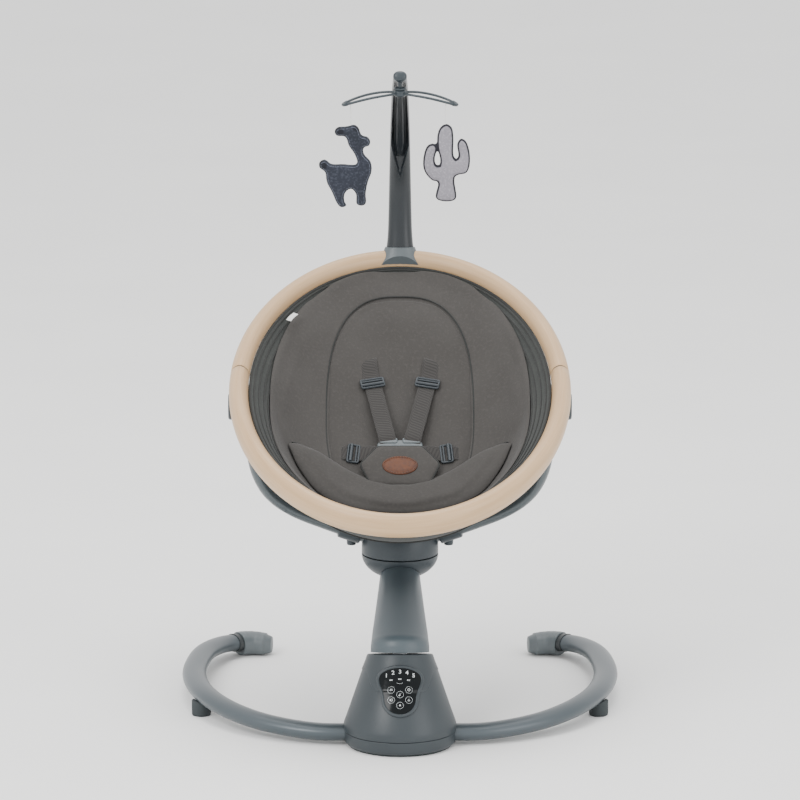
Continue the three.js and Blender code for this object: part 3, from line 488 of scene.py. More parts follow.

# Vegetable-tanned leather: a pebbled grain under a worn wax; its tone varies
# # in soft clouds.
LEATHER, tree, shader = material("tanned_leather_brown", Specular_IOR_Level=0.4)
place = add(tree, "TexCoord").outputs["Object"]
pebbles = add(tree, "TexVoronoi", {"Vector": place, "Scale": 800.0}, feature="SMOOTH_F1")
cloudy = add(tree, "TexNoise", {"Vector": place, "Scale": 160.0, "Detail": 5.0})
blend_colour(tree, shader, cloudy.outputs["Fac"], "#44210c", "#5a3014")
roughen(tree, shader, cloudy.outputs["Fac"], 0.45, 0.65)
emboss(tree, shader, pebbles.outputs["Distance"], 0.12)

# %% Webbing and the wood-look ring, which follow their own length
WEBBING, tree, shader = material(
    "woven_polyester_webbing", Roughness=0.8, Sheen_Weight=0.2, Specular_IOR_Level=0.25)
surface = add(tree, "UVMap", uv_map="surface").outputs["UV"]
# A twill at 1.6 mm, where the real yarns lie 1.1 mm apart.
lean = add(tree, "Mapping", {"Vector": surface, "Rotation": (0, 0, math.radians(38))})
twill = add(tree, "TexWave", {"Vector": lean.outputs["Vector"], "Scale": 100.0, "Distortion": 0.6})
weft = add(tree, "TexWave", {"Vector": surface, "Scale": 160.0}, bands_direction="Y")
blend_colour(tree, shader, twill.outputs["Fac"], "#2c2a29", "#363432")
under = emboss(tree, shader, twill.outputs["Fac"], 0.18)
emboss(tree, shader, weft.outputs["Fac"], 0.08, under=under)

# A beech-look film under a satin lacquer: long faint streaks about 1.5 mm
# wide and 60 mm long that run round the ring with the tube.
BEECH, tree, shader = material(
    "lacquered_beech_film", Coat_Weight=0.3, Coat_Roughness=0.35, Specular_IOR_Level=0.4)
surface = add(tree, "UVMap", uv_map="surface").outputs["UV"]
long = add(tree, "Mapping", {"Vector": surface, "Scale": (420.0, 14.0, 1.0)})
streaks = add(tree, "TexNoise", {"Vector": long.outputs["Vector"], "Scale": 1.0, "Detail": 4.0})
wide = add(tree, "Mapping", {"Vector": surface, "Scale": (90.0, 4.0, 1.0)})
bands = add(tree, "TexNoise", {"Vector": wide.outputs["Vector"], "Scale": 1.0, "Detail": 2.0})
grain = add(tree, "Mix", {"Factor": 0.45}, data_type="FLOAT")
tree.links.new(bands.outputs["Fac"], grain.inputs[2])
tree.links.new(streaks.outputs["Fac"], grain.inputs[3])
blend_colour(tree, shader, grain.outputs[0], "#b4926a", "#c6a781")
roughen(tree, shader, streaks.outputs["Fac"], 0.36, 0.5)
emboss(tree, shader, streaks.outputs["Fac"], 0.015)
print("all finishes made:", len(bpy.data.materials))

# %% [markdown]
# ## The stand
# The pedestal is a moulded cone that leans back as it rises, so that its
# mouth is square to the swing's axis. A neck sleeve fits over the cone, and
# its lower edge sweeps down in front to meet the control panel. Each ring of
# the cone is one extrude, tipped a little more than the last.

# %% The cone's surface
LEAN = math.radians(13)
SWING_UP = Vector((0, math.sin(LEAN), math.cos(LEAN)))
SWING_BACK = Vector((0, math.cos(LEAN), -math.sin(LEAN)))
# Height on the axis, radius, and how much of the lean the ring has taken.
CONE = [(12.4, 80.4, 0), (20, 81, 0), (30, 81, 0), (40, 77.5, 0.15), (60, 70.5, 0.4),
        (80, 63.5, 0.7), (100, 56.5, 0.95), (107, 54, 1), (118, 49.5, 1), (130, 45.4, 1)]


def on_axis(back, up):
    """A place behind the swing axis and up along it."""
    return SWING_BACK * back + SWING_UP * up


def read(rows, at):
    """A row of a table read at its first column, with its corners eased."""
    total = [0.0] * (len(rows[0]) - 1)
    for shift in (-3, -1.5, 0, 1.5, 3):
        h = min(max(at + shift, rows[0][0]), rows[-1][0])
        for a, b in zip(rows, rows[1:]):
            if a[0] <= h <= b[0]:
                k = (h - a[0]) / (b[0] - a[0])
                for n in range(len(total)):
                    total[n] += (a[n + 1] * (1 - k) + b[n + 1] * k) / 5
                break
    return total


def cone_point(up, turn, out=0.0):
    """A point of the cone at a height and an angle, `out` mm proud of it."""
    r, lean = read(CONE, up)
    tip = LEAN * lean
    centre = Vector((0, SWING_UP.y * up * lean, up * (1 - lean) + SWING_UP.z * up * lean))
    back = Vector((0, math.cos(tip), -math.sin(tip)))
    return centre + X * ((r + out) * math.cos(turn)) + back * ((r + out) * math.sin(turn))


SIDES = 128
turns = [2 * math.pi * i / SIDES for i in range(SIDES)]
heights = [22.6 + (117.5 - 22.6) * i / 47 for i in range(48)]
cone = skin("pedestal_cone", [[cone_point(h, t) for t in turns] for h in heights])

# %% Base tubes, their boots and feet
TUBE_ROUTE = [
    (56, 0, 17), (80, 0, 17), (118, 3, 17), (163, 19, 19), (207, 47, 22),
    (250, 96, 26), (283, 165, 29), (300, 258, 29), (298, 345, 28.5),
    (284, 425, 26), (256, 484, 21), (225, 503, 18), (200, 500, 17.5),
]
TUBE_WIDE, TUBE_TALL = 17.5, 12.25
BOOT_FROM = 0.936
route, route_ahead = flow(TUBE_ROUTE, 201)
tube_end = round(BOOT_FROM * 200)


def tube_room(side, first, last, grow):
    """A stretch of a tube, a little fatter, to cut its way through."""
    points = [Vector((side * p.x, p.y, p.z)) for p in route[first:last:3]]
    return tube("tube_room", points, Z, TUBE_WIDE + grow, TUBE_TALL + grow, 48)


base_tube = tube("right_base_tube", route[:tube_end:2], Z, TUBE_WIDE, TUBE_TALL, 48)

boot_rings = []
for i in range(25):
    k = i / 24
    at = tube_end + 1 + round(k * (199 - tube_end))
    ahead = route_ahead[at].copy()
    ahead.z = 0
    ahead.normalize()
    grow = 1 if k < 0.7 else math.sqrt(max(1 - ((k - 0.7) / 0.304) ** 2, 0.01))
    grow *= 0.955 + 0.045 * min(1, k * 9)
    top = 34.5 - 4 * k * k
    middle = Vector((route[at].x, route[at].y, 0)) + ahead * (10 * k * k)
    middle.z = top / 2 + 0.2
    boot_rings.append(oval(middle, ahead.cross(Z), Z, 20.8 * grow, top / 2 * (0.5 + 0.5 * grow), 48, 2.25))
boot = skin("right_end_cap", boot_rings)

# A dark lip seals the boot on the tube.
lip = tube("right_end_lip", route[tube_end - 2:tube_end + 2], Z, TUBE_WIDE + 1.1, TUBE_TALL + 1.1, 48)

# A rubber foot is turned, hollowed where the tube rests in it, and levelled;
# the thin shard that the hollow leaves above the tube is thrown away.
FOOT_AT, FOOT_TALL = Vector((288, 156, 0)), 22
foot = turned("right_foot", rounded([(0, 0), (13.2, 0), (14, 3), (14, 24), (0, 24)], 1.2), FOOT_AT, Z, 48)
cut(foot, tube_room(1, 60, 130, 0.6))
for v in foot.data.vertices:
    v.co.z = min(v.co.z, FOOT_TALL * MM)
take(foot)
bpy.ops.object.mode_set(mode="EDIT")
bpy.ops.mesh.select_all(action="SELECT")
bpy.ops.mesh.separate(type="LOOSE")
bpy.ops.object.mode_set(mode="OBJECT")
shards = sorted(bpy.context.selected_objects, key=lambda o: min(v.co.z for v in o.data.vertices))
foot = shards[0]
foot.name = "right_foot"
for shard in shards[1:]:
    bpy.data.objects.remove(shard)

for piece, node, slot, finish in (
        (base_tube, "base_tube", "tube_paint", TUBE_PAINT), (boot, "end_cap", "slate_plastic", CLAMP),
        (lip, None, "dark_plastic", BLACK), (foot, "foot", "rubber", RUBBER)):
    settle_pair(piece, "stand", node, finish)

# %% Plinth and the gaps where the tubes go in
plinth = turned("pedestal_plinth", rounded(
    [(0, 3), (77.5, 3), (80.3, 7), (81, 21.9), (0, 21.9)], 2), Vector(), Z, SIDES)
for piece in (cone, plinth):
    for side in (-1, 1):
        cut(piece, tube_room(side, 0, 60, 1.1))
settle(plinth, "stand", ["base_plate"], SLATE, 30)
cone_core = settle(cone, "stand", ["pedestal_shell"], SLATE, 30)

# %% [markdown]
# The neck sleeve is one millimetre proud of the cone. Its lower edge is
# level round the back and dips in front, so each point of a ring has a height
# of its own between that edge and the mouth.

# %% Neck sleeve
NECK_TOP = 128.3


def neck_edge(turn):
    """How low the sleeve reaches at an angle round the cone."""
    across = abs(math.cos(turn)) * 57
    if math.sin(turn) > 0:
        return 106.0
    k = min(max((across - 30) / 24, 0), 1)
    return 80 + 26 * k * k * (3 - 2 * k)


neck_rings = []
for out, share in [(-1.5, 0), (0.2, 0), (0.8, 0.02), (1.0, 0.05), (1.0, 0.3), (1.0, 0.55), (1.0, 0.8),
                   (1.0, 0.94), (0.6, 0.985), (-0.4, 1), (-26, 1), (-30, 0.9)]:
    neck_rings.append([
        cone_point(neck_edge(t) + (NECK_TOP - neck_edge(t)) * share, t, out) for t in turns])
neck = settle(skin("pedestal_neck", neck_rings, fill=False), "stand", ["pedestal_collar"],
              SLATE, 30)

# %% [markdown]
# ## The control panel
# A polished lens sits in a raised rim. Both follow the cone's curve: the
# outline is drawn flat in front of the cone and then dropped on it, point by
# point, along the way that the panel faces.

# %% Dropping flat shapes on the cone
PANEL_UP, PANEL_OUT = on_axis(0.334, 0.943), on_axis(-0.943, 0.334)
PANEL_AT = on_axis(-63.5, 76.5)


def drop(u, v, out):
    """A place on the panel, `out` mm above whatever lies under it."""
    start = PANEL_AT + X * u + PANEL_UP * v + PANEL_OUT * 60
    best = None
    for under in (cone_core, neck):
        hit, spot, _, _ = under.ray_cast(start * MM, -PANEL_OUT)
        if hit and (best is None or (spot - start * MM).length < (best - start * MM).length):
            best = spot
    return best / MM + PANEL_OUT * out


def bezier(a, b, c, d, count):
    """Points on one curve with two handles, without its last."""
    points = []
    for i in range(count):
        k = i / count
        p, q, r = a.lerp(b, k), b.lerp(c, k), c.lerp(d, k)
        points.append(p.lerp(q, k).lerp(q.lerp(r, k), k))
    return points


def panel_outline(grow):
    """The panel's edge, wide at the top and round at the bottom."""
    g = grow
    half = [Vector(p) for p in (
        (0, 34 + g), (12, 34 + g), (25, 31 + g), (28 + g, 25), (33 + g, 16), (24 + g, 2),
        (22.5 + g, -10), (22.5 + g, -27 - g), (12, -36 - g), (0, -36 - g))]
    right = [p for i in (0, 3, 6) for p in bezier(*half[i:i + 4], 20)] + [half[-1]]
    left = [Vector((-p.x, p.y)) for p in reversed(right[1:-1])]
    return right + left


def patch(name, outline, low, high, steps=12):
    """A thin closed plate inside an outline, dropped on the cone."""
    middle = sum(outline, Vector((0, 0))) / len(outline)
    shares = [i / steps for i in range(1, steps + 1)]
    rings = [[drop(*middle.lerp(p, k), low) for p in outline] for k in shares]
    rings += [[drop(*middle.lerp(p, k), high) for p in outline] for k in reversed(shares)]
    return skin(name, rings)


lens = patch("control_lens", panel_outline(0), 0.3, 1.7)
settle(lens, "stand", ["control_panel"], PANEL)
rim_points = [drop(*p, 0.8) for p in panel_outline(2.0)]
rim = tube("panel_rim", rim_points, PANEL_OUT, 2.5, 2.1, 20, looped=True)
settle(rim, "stand", [], SLATE, 60)

# %% [markdown]
# The print is text and small flat shapes, drawn in the panel's own plane.
# Text is made a mesh before it is moved, and every point is then dropped
# just above the lens.

# %% Numbers, lamps and touch keys
marks = []


def write(text, u, v, size):
    """One printed character, centred on a place of the panel."""
    clear()
    bpy.ops.object.text_add()
    label = bpy.context.object
    label.data.body, label.data.size, label.data.offset = text, size, size * 0.012
    label.data.align_x = label.data.align_y = "CENTER"
    bpy.ops.object.convert(target="MESH")
    for point in label.data.vertices:
        point.co.x, point.co.y = point.co.x + u, point.co.y + v
    marks.append(bpy.context.object)


def hoop(u, v, r, width, sides=40, arc=1.0):
    """A printed circle, or part of one, drawn as a narrow band."""
    clear()
    bpy.ops.mesh.primitive_circle_add(vertices=sides, radius=r, location=(u, v, 0))
    band = bpy.context.object
    bpy.ops.object.transform_apply()
    bpy.ops.object.mode_set(mode="EDIT")
    bpy.ops.mesh.select_all(action="SELECT")
    bpy.ops.mesh.extrude_region()
    bpy.ops.transform.resize(value=((r - width) / r,) * 3, center_override=(u, v, 0))
    bpy.ops.object.mode_set(mode="OBJECT")
    if arc < 1:
        mesh = bmesh.new()
        mesh.from_mesh(band.data)
        gone = [f for f in mesh.faces if f.calc_center_median().y > v - r * arc]
        bmesh.ops.delete(mesh, geom=gone, context="FACES")
        mesh.to_mesh(band.data)
        mesh.free()
    marks.append(band)


def bar(u, v, wide, tall, turn=0.0):
    """A printed stroke."""
    clear()
    bpy.ops.mesh.primitive_plane_add(size=1, location=(u, v, 0), rotation=(0, 0, turn))
    stroke = bpy.context.object
    stroke.scale = (wide, tall, 1)
    bpy.ops.object.transform_apply()
    marks.append(stroke)


def dot(u, v, r, sides=16):
    """A printed spot; three sides make an arrow head."""
    clear()
    bpy.ops.mesh.primitive_circle_add(vertices=sides, radius=r, location=(u, v, 0), fill_type="NGON")
    bpy.ops.object.transform_apply()
    marks.append(bpy.context.object)


# %% What is printed
for number, (u, v) in enumerate([(-19.4, 23), (-10, 26.6), (0, 27.8), (10, 26.6), (19.4, 23)], 1):
    write(str(number), u, v, 8.6)
for u, v in [(-12.5, 15.4), (0, 16.6), (12.5, 15.4)]:
    dot(u - 1.6, v, 0.9)
    bar(u + 0.9, v + 0.5, 2.6, 0.6)
    bar(u + 0.7, v - 0.7, 2.2, 0.5)
hoop(0, 17.5, 8, 0.3, 64, 0.82)
KEYS = [(-12.7, 0.6), (12.7, 0.6), (0, -6.7), (-12.7, -14.6), (12.7, -14.6), (0, -23)]
for u, v in KEYS:
    hoop(u, v, 5.1, 0.28)
# Each key's sign, as strokes about the key's middle.
SIGNS = [
    [(bar, -1.1, 0, 0.6, 3.2), (bar, 0.2, 0.3, 0.6, 2.2), (bar, 1.5, 0, 0.6, 3.2)],
    [(hoop, 0, 0, 2.0, 0.6), (bar, 0, 1.9, 0.6, 1.8)],
    [(dot, -0.9, -1.2, 1.0), (bar, 0.1, 0.5, 0.5, 3.4), (bar, 0.9, 2, 1.7, 0.6, -0.4)],
    [(dot, -1.2, 0, 1.2, 4), (hoop, 0.6, 0, 1.9, 0.5)],
    [(hoop, 0, 0.2, 1.8, 0.5, 24, 0.2), (bar, 0, 0.6, 0.6, 2.6)],
    [(dot, 0, 0.1, 1.9, 3)],
]
for (u, v), strokes in zip(KEYS, SIGNS):
    for stroke, right, up, *rest in strokes:
        stroke(u + right, v + up, *rest)

print_marks = join(*marks)
print_marks.name = print_marks.data.name = "panel_print"
for point in print_marks.data.vertices:
    point.co = drop(point.co.x, point.co.y, 1.86) * MM
settle(print_marks, "stand", [], PRINT)

# %% [markdown]
# ## The swinging arm
# A moulded column leans back from the pedestal and cups the round hub. It is
# lofted through ovals that stand between its upper-front and lower-rear
# lines, and the hub's bowl is then cut out of it, so that its rim hugs the
# hub as the real shell does.

# %% Column
HUB_Y, HUB_R, HUB_LOW = 296, 56, 206.6
# Upper-front point, lower-rear point (behind and up the axis), half width.
COLUMN = [
    (-42, 130.6, 42, 130.6, 42), (-41.8, 136, 42.4, 131, 42), (-41.3, 142, 42.9, 131.6, 42),
    (-38.5, 149, 43.8, 132.8, 41.8), (-31, 155, 46, 134.4, 41.4), (-16, 161, 51, 137, 40.8),
    (8, 170.5, 60, 141.5, 40), (40, 184, 78, 149, 38.4), (85, 203, 112, 163, 36),
    (140, 227, 158, 183, 33), (195, 251, 206, 203.5, 30), (236, 263, 240, 217, 28.5),
    (256, 260, 262, 228, 25), (266, 252, 272, 238, 16),
]
column_rings = []
for back_a, up_a, back_b, up_b, half in table(COLUMN, 79):
    high, low = on_axis(back_a, up_a), on_axis(back_b, up_b)
    across = high - low
    column_rings.append(oval((high + low) / 2, X, across.normalized(), half, across.length / 2, 96))
column = skin("column", column_rings)


def bowl_profile(r, depth, top, steps=24):
    """The hub's rounded underside as radii and heights."""
    curve = [(r * math.sin(i / steps * math.pi / 2), HUB_LOW - depth * math.cos(i / steps * math.pi / 2))
             for i in range(steps + 1)]
    return curve + [(r, top), (0, top)]


HUB_FOOT = Vector((0, HUB_Y, 0))
cut(column, turned("bowl_room", bowl_profile(HUB_R + 0.5, 37.6, 280), HUB_FOOT, Z, 96))
# The column takes the slate ABS painted lighter, as painted light against the seat's shade.
settle(column, "swing_arm", ["column_shell"], COLUMN_ABS_PAINTED_LIT, 32)

# %% Hub, in two shells with a shadow line between them
bowl = turned("hub_bowl_shell", bowl_profile(HUB_R, 37, HUB_LOW), HUB_FOOT, Z, 96)
settle(bowl, "swing_arm", ["hub_bowl"], DARK)
cover_side = [(0, 208.2), (HUB_R - 0.6, 208.2), (HUB_R, 208.8), (HUB_R, 234.6), (HUB_R - 0.4, 235.2),
              (HUB_R - 1.2, 235.6), (HUB_R - 1.2, 251)]
quarter = [t / 8 * math.pi / 2 for t in range(9)]
cover_shoulder = [(HUB_R - 5.2 + 4 * math.cos(t), 252.6 + 4 * math.sin(t)) for t in quarter]
housing = turned("hub_cover", cover_side + cover_shoulder + [(0, 256.8)], HUB_FOOT, Z, 96)
settle(housing, "swing_arm", ["hub_housing"], DARK)

# %% [markdown]
# The arm is one steel tube pressed oval, bent up on each side of the hub. A
# moulded clamp holds it at the hub, and a sleeve with a round housing caps
# each end where the seat is hung.

# %% Arms and clamps
ARM_IN, ARM_WIDE, RISE = 10.0, 18.5, 0.335
ARM_ROUTE = [(47, 232.3), (62, 237.3), (77, 242.3), (92, 247.3), (114.4, 255.6), (137, 264.2), (156, 273),
             (176, 285.5), (192, 300.8), (204, 321), (211.5, 345), (214, 368), (214, 384), (214, 400)]
arm_line, _ = flow([(x, HUB_Y, z) for x, z in ARM_ROUTE], 90)
arm = tube("right_arm_tube", arm_line, Y, ARM_IN, ARM_WIDE, 48)

clamp_rings = []
square_to_arm = Vector((-RISE, 0, 1)).normalized()
for at, grow in [(56.4, 2.4), (57, 3.4), (58.5, 4), (68, 4), (78, 4), (85, 4), (87, 3.4), (88, 2.0), (88, 0.4)]:
    middle = Vector((at, HUB_Y, 232.3 + (at - 47) * RISE))
    clamp_rings.append(oval(middle, square_to_arm, Y, ARM_IN + grow, ARM_WIDE + grow, 48, 2.3))
clamp = skin("right_arm_clamp_shell", clamp_rings)
studs = []
for at, rise in [(66, 9.2), (80, 9.2)]:
    middle = Vector((at, HUB_Y - 9, 232.3 + (at - 47) * RISE + rise))
    studs.append(turned("stud", rounded([(0, 0), (5.6, 0), (5.6, 18), (0, 18)], 1.2), middle, Y, 32))
lug_top = Vector((71, HUB_Y, 232))
studs.append(turned("stud", rounded([(0, 0), (7.5, 0), (6.5, 12.5), (0, 12.5)], 1.5), lug_top, -Z, 32))
for stud in studs:
    fuse(clamp, stud)

# %% Recline joints
PIVOT = Vector((0, 297, 426.5))
recline = turned("right_recline_shell", [
    (0, 212.3), (25.4, 212.3), (26.5, 212.8), (27, 214), (27, 236.4), (26.4, 238.6), (25, 239.8), (23, 240),
    (21.4, 240), (20.6, 239.4), (20.2, 238.4), (20.2, 227.9), (0, 227.9)], PIVOT, X, 80)
sleeve_rings = []
for z, a, b in [(384.6, 10.6, 19.1), (384.6, 15.6, 24), (385.4, 16.5, 25), (388.2, 16.5, 25), (389.2, 15.6, 24),
                (390, 14.6, 22.8), (396, 14.4, 22.5), (403, 14.1, 22), (408, 13.8, 20), (412, 13.4, 16)]:
    middle = Vector((214 + max(z - 400, 0) * 0.9, HUB_Y, z))
    sleeve_rings.append(oval(middle, X, Y, a, b, 56, 2.2))
fuse(recline, skin("sleeve", sleeve_rings))
button = turned("right_recline_cap", [
    (0, 232), (19.4, 232), (19.5, 246.5), (19, 248.4), (17.8, 249.6), (16.4, 250), (15.2, 249.8), (14.4, 249.2),
    (8, 248.2), (0, 247.9)], PIVOT, X, 64)

for piece, body, node, slot, finish in (
        (arm, "swing_arm", "arm", "arm_paint", ARM_PAINT),
        (clamp, "swing_arm", "arm_clamp", "dark_plastic", DARK),
        (recline, "swing_arm", "recline_housing", "slate_plastic", SLATE),
        (button, "SIDE_button", "recline_button", "graphite_plastic", GRAPHITE)):
    settle_pair(piece, body, node, finish)

# %% [markdown]
# ## The seat ring
# Two moulded halves with a wood-look skin meet in a fine dark line on each
# side. The ring is drawn in the seat's own plane and tipped back with it.

# %% Ring halves
SEAT_AT = Vector((0, 254, 460))
SEAT = Matrix.Translation(SEAT_AT * MM) @ Matrix.Rotation(math.radians(22), 4, "X")
RING_A, RING_B, RING_ACROSS, RING_TALL = 234, 334, 14, 18.7
SEAM = math.asin(38 / RING_B)


def ring_tube(name, start, end, count, across, tall):
    """A stretch of the ring between two angles, its ends slightly eased."""
    rings = []
    for i in range(count + 1):
        t = start + (end - start) * i / count
        centre = Vector((RING_A * math.cos(t), RING_B * math.sin(t), 0))
        ahead = Vector((-RING_A * math.sin(t), RING_B * math.cos(t), 0)).normalized()
        rings.append(oval(centre, ahead.cross(Z), Z, across, tall, 56))
    for end_ring, inner in ((rings[0], rings[1]), (rings[-1], rings[-2])):
        centre = sum(end_ring, Vector()) / len(end_ring)
        inner[:] = [p + (q - p).normalized() * 1.2 for p, q in zip(end_ring, inner)]
        end_ring[:] = [centre + (p - centre) * 0.955 for p in end_ring]
    return skin(name, rings, SEAT)


OPEN = 0.0034
for word, start, end, steps in (("upper", SEAM, math.pi - SEAM, 110),
                                ("lower", math.pi - SEAM, 2 * math.pi + SEAM, 130)):
    half = ring_tube(f"{word}_ring_shell", start + OPEN, end - OPEN, steps, RING_ACROSS, RING_TALL)
    settle(half, "seat", [f"{word}_ring"], BEECH)
for name, middle in (("right_ring_joint", SEAM), ("left_ring_joint", math.pi - SEAM)):
    joint = ring_tube(name, middle - 0.012, middle + 0.012, 6, RING_ACROSS - 1.3, RING_TALL - 1.3)
    settle(joint, "seat", [], BLACK)

# %% Brackets that hang the ring on the recline joints
disc = rounded([(0, 199), (20, 199), (20, 211.4), (0, 211.4)], 2.2)
bracket = turned("right_ring_hanger", disc, PIVOT, X, 56)
web_rings = []
for k in (0, 0.15, 0.3, 0.45, 0.6, 0.75, 0.9, 1):
    middle = Vector((205.2, 297, 426.5)).lerp(Vector((223.5, 284, 459)), k)
    middle.x = 205.2 + 18.3 * k ** 3
    web_rings.append(oval(middle, X, Y, 6.2 + 4 * k, 18 - 2 * k, 40, 3))
fuse(bracket, skin("web", web_rings))
settle_pair(bracket, "seat", "ring_bracket", SLATE)

# %% [markdown]
# ## The bucket
# A stiff fabric-covered bowl hangs in the ring. Its shape is read from a
# table of levels, each a pair of half ovals. Moving the table's three
# profiles along their own normals gives the same bowl a little smaller, and
# everything soft in the seat is laid on such a smaller bowl.

# %% The bowl's surface
# Depth under the ring's plane, half width, reach to the back and the front.
BOWL = [
    (0, 219.5, 319.5, -319.5), (5, 212.5, 317, -316), (11, 205, 311, -311),
    (19, 197.5, 299, -305.5), (30, 192.5, 281, -299), (45, 187, 247, -290),
    (65, 178, 196, -276), (85, 165, 143, -257), (105, 144, 82, -231),
    (122, 112, 12, -195), (133, 72, -50, -150), (138, 0, -104, -104),
]
LOW_POINT = -104
LEVELS = 111
levels = table(BOWL, LEVELS)


def moved_in(profile, inset):
    """A profile of reach and depth, shifted along its normals."""
    found = []
    for i, (r, h) in enumerate(profile):
        r0, h0 = profile[max(i - 1, 0)]
        r1, h1 = profile[min(i + 1, len(profile) - 1)]
        run = math.hypot(r1 - r0, h1 - h0)
        across, down = ((h1 - h0) / run, (r0 - r1) / run) if i < len(profile) - 1 else (0, 1)
        found.append((max(r - across * inset, 0), h - down * inset))
    return found


def bowl_levels(inset):
    """Half width, side depth, back, back depth, front and front depth."""
    sides = moved_in([(a, h) for h, a, _, _ in levels], inset)
    back = moved_in([(b - LOW_POINT, h) for h, _, b, _ in levels], inset)
    front = moved_in([(LOW_POINT - f, h) for h, _, _, f in levels], inset)
    return [(s[0], s[1], b[0] + LOW_POINT, b[1], LOW_POINT - f[0], f[1])
            for s, b, f in zip(sides, back, front)]


def on_level(level, turn):
    """A point of one level at an angle, in the seat's frame."""
    a, side, back, back_depth, front, front_depth = level
    c, s = math.cos(turn), math.sin(turn)
    end = back_depth if s > 0 else front_depth
    y = (back + front) / 2 + (back - front) / 2 * s
    return Vector((a * c, y, -(side * c * c + end * s * s)))


BED = bowl_levels(5.6)


def bed(x, y):
    """The point of the seat's bed under a place, found by halving."""
    low, high = 0.0, float(LEVELS - 1)
    for _ in range(18):
        t = (low + high) / 2
        i = min(int(t), LEVELS - 2)
        level = [p + (q - p) * (t - i) for p, q in zip(BED[i], BED[i + 1])]
        a, _, back, _, front, _ = level
        reach = (x / max(a, 0.01)) ** 2 + ((y - (back + front) / 2) / max((back - front) / 2, 0.01)) ** 2
        low, high = (t, high) if reach < 1 else (low, t)
    turn = math.atan2((y - (back + front) / 2) / max((back - front) / 2, 0.01), x / max(a, 0.01))
    point = on_level(level, turn)
    return Vector((x, y, point.z))


def over_bed(x, y, height):
    """A point `height` mm above the bed, square to it."""
    p = bed(x, y)
    across, along = bed(x + 2, y) - bed(x - 2, y), bed(x, y + 2) - bed(x, y - 2)
    return p + across.cross(along).normalized() * height


# %% Bucket, its piping and outside seams
COUNT = 144
bucket_turns = [2 * math.pi * i / COUNT for i in range(COUNT)]
outer, inner = bowl_levels(1.2), bowl_levels(3.8)
every = list(range(0, LEVELS - 1, 3)) + [LEVELS - 1]
bucket_rings = [[on_level(outer[i], t) for t in bucket_turns] for i in reversed(every)]
bucket_rings += [[on_level(inner[i], t) for t in bucket_turns] for i in every]
settle(skin("bucket_shell", bucket_rings, SEAT), "seat", ["seat_bucket"], LINING, 50)


def bowl_cord(name, at, inset, r, turns_used=bucket_turns):
    """A fine piping that runs round the bowl at one level."""
    level = bowl_levels(inset)[at]
    return tube(name, [on_level(level, t) for t in turns_used], Z, r, r, 10, SEAT, looped=True)


trims = [bowl_cord("lining_piping", at, 4.2, 1.3) for at in (8, 17, 26, 34)]
trims += [bowl_cord("lining_piping", at, 0.6, 1.4) for at in (44, 74)]
trims.append(bowl_cord("lining_piping", 2, 2.2, 2.2))
piping = join(*trims)
piping.name = "bucket_piping"
settle(piping, "seat", [], PIPING)

# %% [markdown]
# ## Pads
# The pad, the newborn inlay and the front bolster are each a closed bag laid
# on the bed: a lower skin, a rim, and an upper skin that rises from it. The
# bags meet in the valleys that a sewn seam makes. Each is then blown up a
# little as cloth, so that it fills out between its edges as wadding does.

# %% Bags laid on the bed, and a moment as cloth
SHARES = [0.46, 0.53, 0.6, 0.67, 0.73, 0.79, 0.84, 0.88, 0.915, 0.945, 0.965, 0.98, 0.992, 1.0]


def squared_oval(a, back, front, power, count):
    """An outline with fuller corners than an oval's."""
    middle = Vector((0, (back + front) / 2, 0))
    return oval(middle, X, Y, a, (back - front) / 2, count, power)


def bag(name, outline, heart, low, high, crown=6):
    """A closed bag between `low` and `high` mm above the bed."""
    under, over = [], []
    for share in SHARES:
        rise = (1 - share ** crown) ** 0.5
        under.append([over_bed(*(heart + (p - heart) * share).xy, low) for p in outline])
        over.append([over_bed(*(heart + (p - heart) * share).xy, low + 1 + (high - low - 1) * rise)
                     for p in outline])
    return fill_hearts(skin(name, under + over[::-1], SEAT, fill=False), low, high)


def fill_hearts(piece, low, high):
    """Fills a bag's two open middles with squares, laid on the bed."""
    take(piece)
    bpy.ops.object.mode_set(mode="EDIT")
    bpy.ops.mesh.select_mode(type="EDGE")
    back = SEAT.inverted()
    for _ in range(2):
        mesh = bmesh.from_edit_mesh(piece.data)
        held = len(mesh.verts)
        edge = next(e for e in mesh.edges if e.is_boundary)
        loop, ends = {edge}, list(edge.verts)
        while ends:
            v = ends.pop()
            for e in v.link_edges:
                if e.is_boundary and e not in loop:
                    loop.add(e)
                    ends.append(e.other_vert(v))
        bpy.ops.mesh.select_all(action="DESELECT")
        for e in loop:
            e.select_set(True)
        count = len(loop)
        at = back @ edge.verts[0].co / MM
        height = low if (at - bed(at.x, at.y)).length < (low + high) / 2 else high
        bpy.ops.mesh.fill_grid(span=count // 4)
        mesh = bmesh.from_edit_mesh(piece.data)
        mesh.verts.ensure_lookup_table()
        for v in mesh.verts[held:]:
            at = back @ v.co / MM
            v.co = SEAT @ (over_bed(at.x, at.y, height) * MM)
        bmesh.update_edit_mesh(piece.data)
    bpy.ops.mesh.select_mode(type="VERT")
    bpy.ops.object.mode_set(mode="OBJECT")
    return clean(piece, fill=False)


OVER_SEAT = SEAT @ (Vector((0, -20, 190)) * MM)


